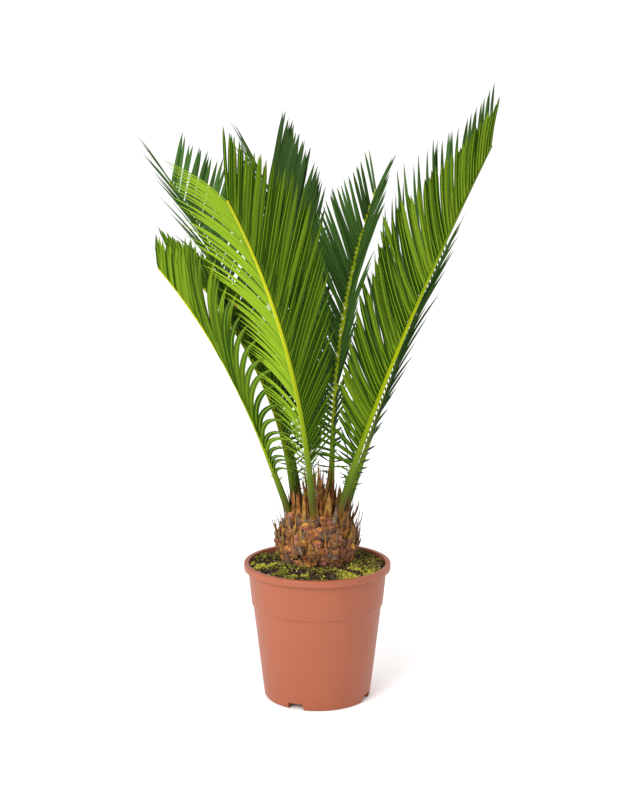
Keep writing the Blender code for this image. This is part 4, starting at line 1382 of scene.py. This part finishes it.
def soil_mesh():
    """A crumbly top on a closed body that fills the pot, with its moss cover as an attribute."""
    radii = np.concatenate([[POLE_RADIUS], np.linspace(0.012, 0.036, 3),
                            np.linspace(0.040, SOIL_RADIUS, 34)])
    profile = [(radius, float(soil_height(radius))) for radius in radii]
    step_z = COLLAR_FOOT_Z - STEP_HEIGHT
    floor_z = CHANNEL_HEIGHT + FLOOR + TOUCH_GAP
    slack = WALL + TOUCH_GAP
    top_rings = len(profile)
    profile += [
        (COLLAR_FOOT_RADIUS - slack, COLLAR_FOOT_Z + TOUCH_GAP),
        (wall_radius(step_z) - slack, step_z),
        (wall_radius(floor_z) - slack, floor_z),
        (CENTRE_DISC_RADIUS + FLOOR - 2 * TOUCH_GAP, floor_z),
        (CENTRE_DISC_RADIUS - FLOOR - TOUCH_GAP, FLOOR + TOUCH_GAP),
    ]
    vertices, faces = lathe(profile, SOIL_STEPS)
    cover = np.zeros(len(vertices))
    for index in range(SOIL_STEPS, (top_rings - 1) * SOIL_STEPS):
        x, y, z = vertices[index]
        crumbs = noise.fractal(Vector((x, y, 0.0)) * CRUMBS_A_METRE, 0.8, 2.1, 4)
        cover[index] = moss_share(x, y)
        vertices[index][2] = (z + SOIL_CRUMB * crumbs + soil_lump(x, y)
                              + MOSS_DEPTH * cover[index])
    mesh = mesh_from("soil_body", vertices.tolist(), [face[::-1] for face in faces])
    set_attribute(mesh, "moss", "FLOAT", cover)
    return mesh


def soil_material(settings):
    """Moist peat: near black, crumbly and matt, greener where moss has grown over it."""
    material, tree, shader = shader_material("moist_peat", settings.peat_colour, 0.95, 0.15)
    grain = object_noise(tree, 2.2, 8.0)
    peat = colour_ramp(tree, grain.outputs["Fac"], (
        (0.36, "#140d09"), (0.52, "#2d2118"), (0.66, "#4b3a2a"), (0.74, "#6b5a44")))
    green = colour_ramp(tree, grain.outputs["Fac"], ((0.38, "#1a1a0a"), (0.66, "#5a571e")))
    cover = add_node(tree, "ShaderNodeAttribute", attribute_name="moss")
    mixed = add_node(tree, "ShaderNodeMix", {"Factor": cover.outputs["Fac"], 6: peat, 7: green},
                     data_type="RGBA")
    tree.links.new(mixed.outputs[2], shader.inputs["Base Color"])
    emboss(tree, shader, grain.outputs["Fac"], 1.2, 0.9)
    return material


def crumb_shape(name, seed, spread, spikes=0.0):
    """A small irregular grain of twenty faces; with spikes it is a tuft of moss."""
    chance = np.random.default_rng(seed)
    shape = bmesh.new()
    bmesh.ops.create_icosphere(shape, subdivisions=1, radius=1.0)
    for vertex in shape.verts:
        vertex.co *= 1.0 + spread * chance.normal()
    if spikes:
        poked = bmesh.ops.poke(shape, faces=shape.faces[:])
        for vertex in poked["verts"]:
            vertex.co *= 1.0 + spikes * chance.uniform(0.6, 1.3)
    return bpy.data.objects.new(name, finished_mesh(name, shape))


def soil_spots(count, chance, size_range, shapes, skins, wants_moss, sunk):
    """Seeded spots on the soil's top, dealt where moss is or isn't; skin 0 is the yellow moss."""
    spots = []
    while len(spots) < count:
        radius = math.sqrt(chance.uniform(SPOTS_FROM ** 2, SPOTS_TO ** 2))
        azimuth = math.tau * chance.random()
        x, y = radius * math.cos(azimuth), radius * math.sin(azimuth)
        cover = moss_share(x, y)
        if chance.random() > (cover if wants_moss else 1.0 - MOSS_HIDES * cover):
            continue
        size = chance.uniform(*size_range)
        z = float(soil_height(radius)) + soil_lump(x, y) + MOSS_DEPTH * cover - sunk * size
        yellow_chance = YELLOW_CHANCE + YELLOW_PATCH_CHANCE * moss_yellow(x, y)
        yellow = wants_moss and chance.random() < yellow_chance
        turn = chance.uniform(0.0, math.tau, 3)
        spots.append({
            "place": (x, y, z),
            "turn": (0.0, 0.0, turn[2]) if wants_moss else tuple(turn),
            "size": (size, size * chance.uniform(0.7, 1.0), size * chance.uniform(0.6, 1.0)),
            "shape": int(chance.integers(0, shapes)),
            "skin": 0 if yellow else int(chance.integers(int(wants_moss), skins)),
        })
    return spots


# Settings that a user would change


def colour_setting(label, what, hex_colour):
    return bpy.props.FloatVectorProperty(name=label, description=what, subtype="COLOR", size=4,
                                         default=linear(hex_colour), min=0.0, max=1.0)


def count_setting(label, what, value, least=0):
    return bpy.props.IntProperty(name=label, description=what, default=value, min=least)


def size_setting(label, what, value, least=0.0, unit="LENGTH"):
    return bpy.props.FloatProperty(name=label, description=what, unit=unit, default=value,
                                   min=least)


def share_setting(label, what, value):
    return bpy.props.FloatProperty(name=label, description=what, subtype="FACTOR",
                                   default=value, min=0.0, max=1.0)


class PotSettings(bpy.types.PropertyGroup):
    colour: colour_setting("Plastic", "Colour of the moulded pot", "#914d31")
    lip: size_setting("Lip", "Rounding of the rim's edges", 0.0012)
    steps: count_setting("Steps", "Steps round the pot", 160, 24)


class SoilSettings(bpy.types.PropertyGroup):
    peat_colour: colour_setting("Peat", "Mean colour of the peat", "#2d2118")
    crumb_count: count_setting("Crumbs", "Loose crumbs of peat and bark", 900)
    perlite_count: count_setting("Perlite", "White grains", 38)
    tuft_count: count_setting("Moss tufts", "Tufts of moss on the soil", 3000)


class StemSettings(bpy.types.PropertyGroup):
    scale_rows: count_setting("Rows", "Rows of old leaf bases", 7, 2)
    scales_a_row: count_setting("Leaf bases a row", "Old leaf bases in each row", 18, 3)
    bract_count: count_setting("Bracts", "Broad dead scales pressed to the stem", 230)
    shred_count: count_setting("Shreds", "Long dead scales on the stem's sides", 110)
    crown_scale_count: count_setting("Crown scales", "Dead scales between the fronds' feet", 52, 1)
    cataphyll_count: count_setting("Cataphylls", "Broad tan scales that stand between the fronds",
                                   24, 1)
    edge_spear_count: count_setting("Edge spears", "Long dead scales at the crown's sides", 15)
    cone_scale_count: count_setting("Cone scales", "Dead scales of the tall middle cone", 26, 1)
    fibre_count: count_setting("Fibres", "Loose hairs between the leaf bases", 420)


class FrondSettings(bpy.types.PropertyGroup):
    leaflet_spacing: size_setting("Spacing", "Distance between leaflets on one side of a rib",
                                  0.0072, 0.002)
    leaflet_width: size_setting("Width", "Width of a full leaflet", 0.0062, 0.001)
    leaflet_steps: count_setting("Steps", "Stations along a leaflet", 13, 6)
    lost_share: share_setting("Lost", "How many of each row's missing leaflets are left out", 1.0)
    dry_tip_share: share_setting("Dry tips", "Share of the leaflets with a dry tip", 0.008)
    spine_pairs: count_setting("Spines", "Pairs of short spines below each blade", 7, 1)
    upper_colour: colour_setting("Upper face", "Colour of a leaflet's upper face", "#3a5824")
    # The under face's tones run from this lit colour to the shaded one below: painted light and
    # painted shade
    under_lit_colour: colour_setting("Light under face",
                                       "Lightest colour of a leaflet's under face", "#7b9720")
    under_shaded_colour: colour_setting("Dark under face",
                                      "Darkest colour of a leaflet's under face", "#2c4902")
    midrib_colour: colour_setting("Midrib", "Colour of the raised midrib below", "#6f9016")
    base_colour: colour_setting("Leaflet base", "Colour where a leaflet joins its rib", "#93a41a")


class StageSettings(bpy.types.PropertyGroup):
    camera_place: bpy.props.FloatVectorProperty(
        name="Camera", description="Where the camera stands", subtype="TRANSLATION", size=3,
        default=(-0.0082, -1.745, 0.6636))
    camera_pitch: bpy.props.FloatProperty(
        name="Pitch", description="How far the camera looks down", subtype="ANGLE",
        default=math.radians(8.89))
    surround: size_setting("Surround", "Brightness of the white studio all round", 1.06,
                           unit="NONE")
    key_power: size_setting("Key light", "Power of the large soft light at the left", 58.0,
                            unit="POWER")
    fill_power: size_setting("Fill light", "Power of the soft light above", 4.0, unit="POWER")
    floor_colour: colour_setting("Floor", "Colour of the plain floor", "#ffffff")


# Operators


class SAGO_OT_pot(bpy.types.Operator):
    """Build the moulded pot with its rolled rim, step, foot ring, notches and drain holes"""
    bl_idname = "sago.pot"
    bl_label = "Pot"

    def execute(self, context):
        settings = context.scene.sago_pot
        mesh = pot_mesh(settings.lip, settings.steps)
        add_piece("nursery_pot", mesh, "pot", [pot_material(tuple(settings.colour))])
        return {"FINISHED"}


class SAGO_OT_soil(bpy.types.Operator):
    """Build the peat with its crumbs, perlite and moss"""
    bl_idname = "sago.soil"
    bl_label = "Soil"

    def execute(self, context):
        settings = context.scene.sago_soil
        chance = np.random.default_rng(SEED)
        add_piece("peat_body", soil_mesh(), "soil", [soil_material(settings)])
        crumbs = [crumb_shape("crumb_%d" % index, index, 0.16) for index in range(3)]
        spots = soil_spots(settings.crumb_count, chance, CRUMB_SIZES, 3, 3, False, 0.2)
        deal_pieces("soil", spots, crumbs, woody_pieces(CRUMB_PIECES), *CRUMB_WEAR)
        grains = [crumb_shape("grain_%d" % index, 20 + index, 0.12) for index in range(2)]
        spots = soil_spots(settings.perlite_count, chance, PERLITE_SIZES, 2, 1, False, 0.3)
        deal_pieces("soil", spots, grains, woody_pieces(PERLITE_PIECES), *PERLITE_WEAR)
        tufts = [crumb_shape("tuft_%d" % index, 40 + index, 0.10, 0.55) for index in range(3)]
        spots = soil_spots(settings.tuft_count, chance, TUFT_SIZES, 3, 4, True, 0.0)
        deal_pieces("soil", spots, tufts, woody_pieces(MOSS_PIECES), *MOSS_WEAR)
        return {"FINISHED"}


class SAGO_OT_stem(bpy.types.Operator):
    """Build the squat stem with its old leaf bases, dry scales and fibres"""
    bl_idname = "sago.stem"
    bl_label = "Stem"

    def execute(self, context):
        settings = context.scene.sago_stem
        chance = np.random.default_rng(SEED + 1)
        # The stem's body takes the dark felt, which is partly painted shade between the leaf bases
        add_piece("stem_core", stem_core_mesh(), "trunk", [woody_material("stem_felt_and_shade")])
        shapes = [leaf_base_shape(*row) for row in BASE_SHAPES]
        deal_pieces("trunk", leaf_base_spots(settings, chance), shapes,
                    woody_pieces(BASE_PIECES), *BASE_WEAR)
        dry = [woody_material(name) for name in DRY_TISSUES]
        mesh = blades_mesh("dry_scales", dry_scales(settings, chance), SCALE_SECTION,
                           scale_outline, 8, SCALE_STRIPS)
        add_piece("dry_scales", mesh, "trunk", dry)
        mesh = blades_mesh("stem_fibres", fibres(settings, chance), SCALE_SECTION,
                           fibre_outline, 6, SCALE_STRIPS)
        add_piece("stem_fibres", mesh, "trunk", dry)
        return {"FINISHED"}


class SAGO_OT_fronds(bpy.types.Operator):
    """Build every frond's rib and its two rows of leaflets"""
    bl_idname = "sago.fronds"
    bl_label = "Fronds"

    def execute(self, context):
        settings = context.scene.sago_fronds
        leaf_skins = leaf_materials(settings)
        stalk = rib_material(settings)
        tree = sweep_tree()
        for number, name in enumerate(FRONDS):
            chance = np.random.default_rng(SEED + 10 + number)
            mesh = grown_mesh(rib_guide(name), tree, {
                "Sides": RIB_SIDES, "Flatness": RIB_FLATNESS, "Skin": stalk})
            mesh.shade_smooth()
            mesh.set_sharp_from_angle(angle=math.radians(GROWN_SHARP_DEGREES))
            add_piece(name + "_rib", mesh, name)
            blades = frond_blades(name, settings, chance)
            blades += frond_spines(name, settings, chance)
            mesh = blades_mesh(name + "_leaflets", blades, LEAFLET_SECTION, leaflet_outline,
                               settings.leaflet_steps, LEAFLET_STRIPS)
            add_piece(name + "_leaflets", mesh, name, leaf_skins)
        return {"FINISHED"}


class SAGO_OT_stage(bpy.types.Operator):
    """Make the camera, the soft studio light and the plain floor"""
    bl_idname = "sago.stage"
    bl_label = "Stage"

    def execute(self, context):
        settings = context.scene.sago_stage
        scene = context.scene
        camera = bpy.data.cameras.new("camera")
        camera.sensor_width = SENSOR_MM
        camera.lens = SENSOR_MM * FOCAL_PX / PICTURE_HEIGHT_PX
        camera.clip_end = 200.0
        eye = linked_object("camera", camera)
        eye.location = settings.camera_place
        eye.rotation_euler = (math.pi / 2 - settings.camera_pitch, 0.0, 0.0)
        scene.camera = eye
        world = bpy.data.worlds.new("studio")
        world.use_nodes = True
        background = world.node_tree.nodes["Background"]
        background.inputs["Color"].default_value = (1.0, 1.0, 1.0, 1.0)
        background.inputs["Strength"].default_value = settings.surround
        scene.world = world
        scene.view_settings.view_transform = "Standard"
        self.add_light("key_light", settings.key_power, KEY_LIGHT_SIZE, KEY_LIGHT_PLACE)
        self.add_light("fill_light", settings.fill_power, FILL_LIGHT_SIZE, FILL_LIGHT_PLACE)
        shape = bmesh.new()
        bmesh.ops.create_circle(shape, cap_ends=True, segments=64, radius=FLOOR_RADIUS)
        floor = linked_object("floor", finished_mesh("floor", shape))
        material = shader_material("matt_paper_floor", tuple(settings.floor_colour), 0.9, 0.1)[0]
        floor.data.materials.append(material)
        return {"FINISHED"}

    def add_light(self, name, power, size, place):
        lamp = bpy.data.lights.new(name, "AREA")
        lamp.shape = "DISK"
        lamp.size = size
        lamp.energy = power
        light = linked_object(name, lamp)
        light.location = place
        aim = Vector(LIGHTS_AIM) - Vector(place)
        light.rotation_euler = aim.to_track_quat("-Z", "Y").to_euler()


class SAGO_PT_panel(bpy.types.Panel):
    """Lists the pieces and their settings"""
    bl_label = "Sago palm"
    bl_idname = "SAGO_PT_panel"
    bl_space_type = "VIEW_3D"
    bl_region_type = "UI"
    bl_category = "Sago palm"

    def draw(self, context):
        for operator, group in ((SAGO_OT_pot, "sago_pot"), (SAGO_OT_soil, "sago_soil"),
                                (SAGO_OT_stem, "sago_stem"), (SAGO_OT_fronds, "sago_fronds"),
                                (SAGO_OT_stage, "sago_stage")):
            box = self.layout.box()
            settings = getattr(context.scene, group)
            for name in settings.__annotations__:
                box.prop(settings, name)
            box.operator(operator.bl_idname)


SETTING_GROUPS = (("sago_pot", PotSettings), ("sago_soil", SoilSettings),
                  ("sago_stem", StemSettings), ("sago_fronds", FrondSettings),
                  ("sago_stage", StageSettings))
OPERATORS = (SAGO_OT_pot, SAGO_OT_soil, SAGO_OT_stem, SAGO_OT_fronds, SAGO_OT_stage)


def register():
    for name, group in SETTING_GROUPS:
        bpy.utils.register_class(group)
        setattr(bpy.types.Scene, name, bpy.props.PointerProperty(type=group))
    for operator in OPERATORS:
        bpy.utils.register_class(operator)
    bpy.utils.register_class(SAGO_PT_panel)


def unregister():
    bpy.utils.unregister_class(SAGO_PT_panel)
    for operator in reversed(OPERATORS):
        bpy.utils.unregister_class(operator)
    for name, group in reversed(SETTING_GROUPS):
        delattr(bpy.types.Scene, name)
        bpy.utils.unregister_class(group)


def main():
    register()
    bpy.ops.sago.pot()
    bpy.ops.sago.soil()
    bpy.ops.sago.stem()
    bpy.ops.sago.fronds()
    bpy.ops.sago.stage()


if __name__ == "__main__":
    main()
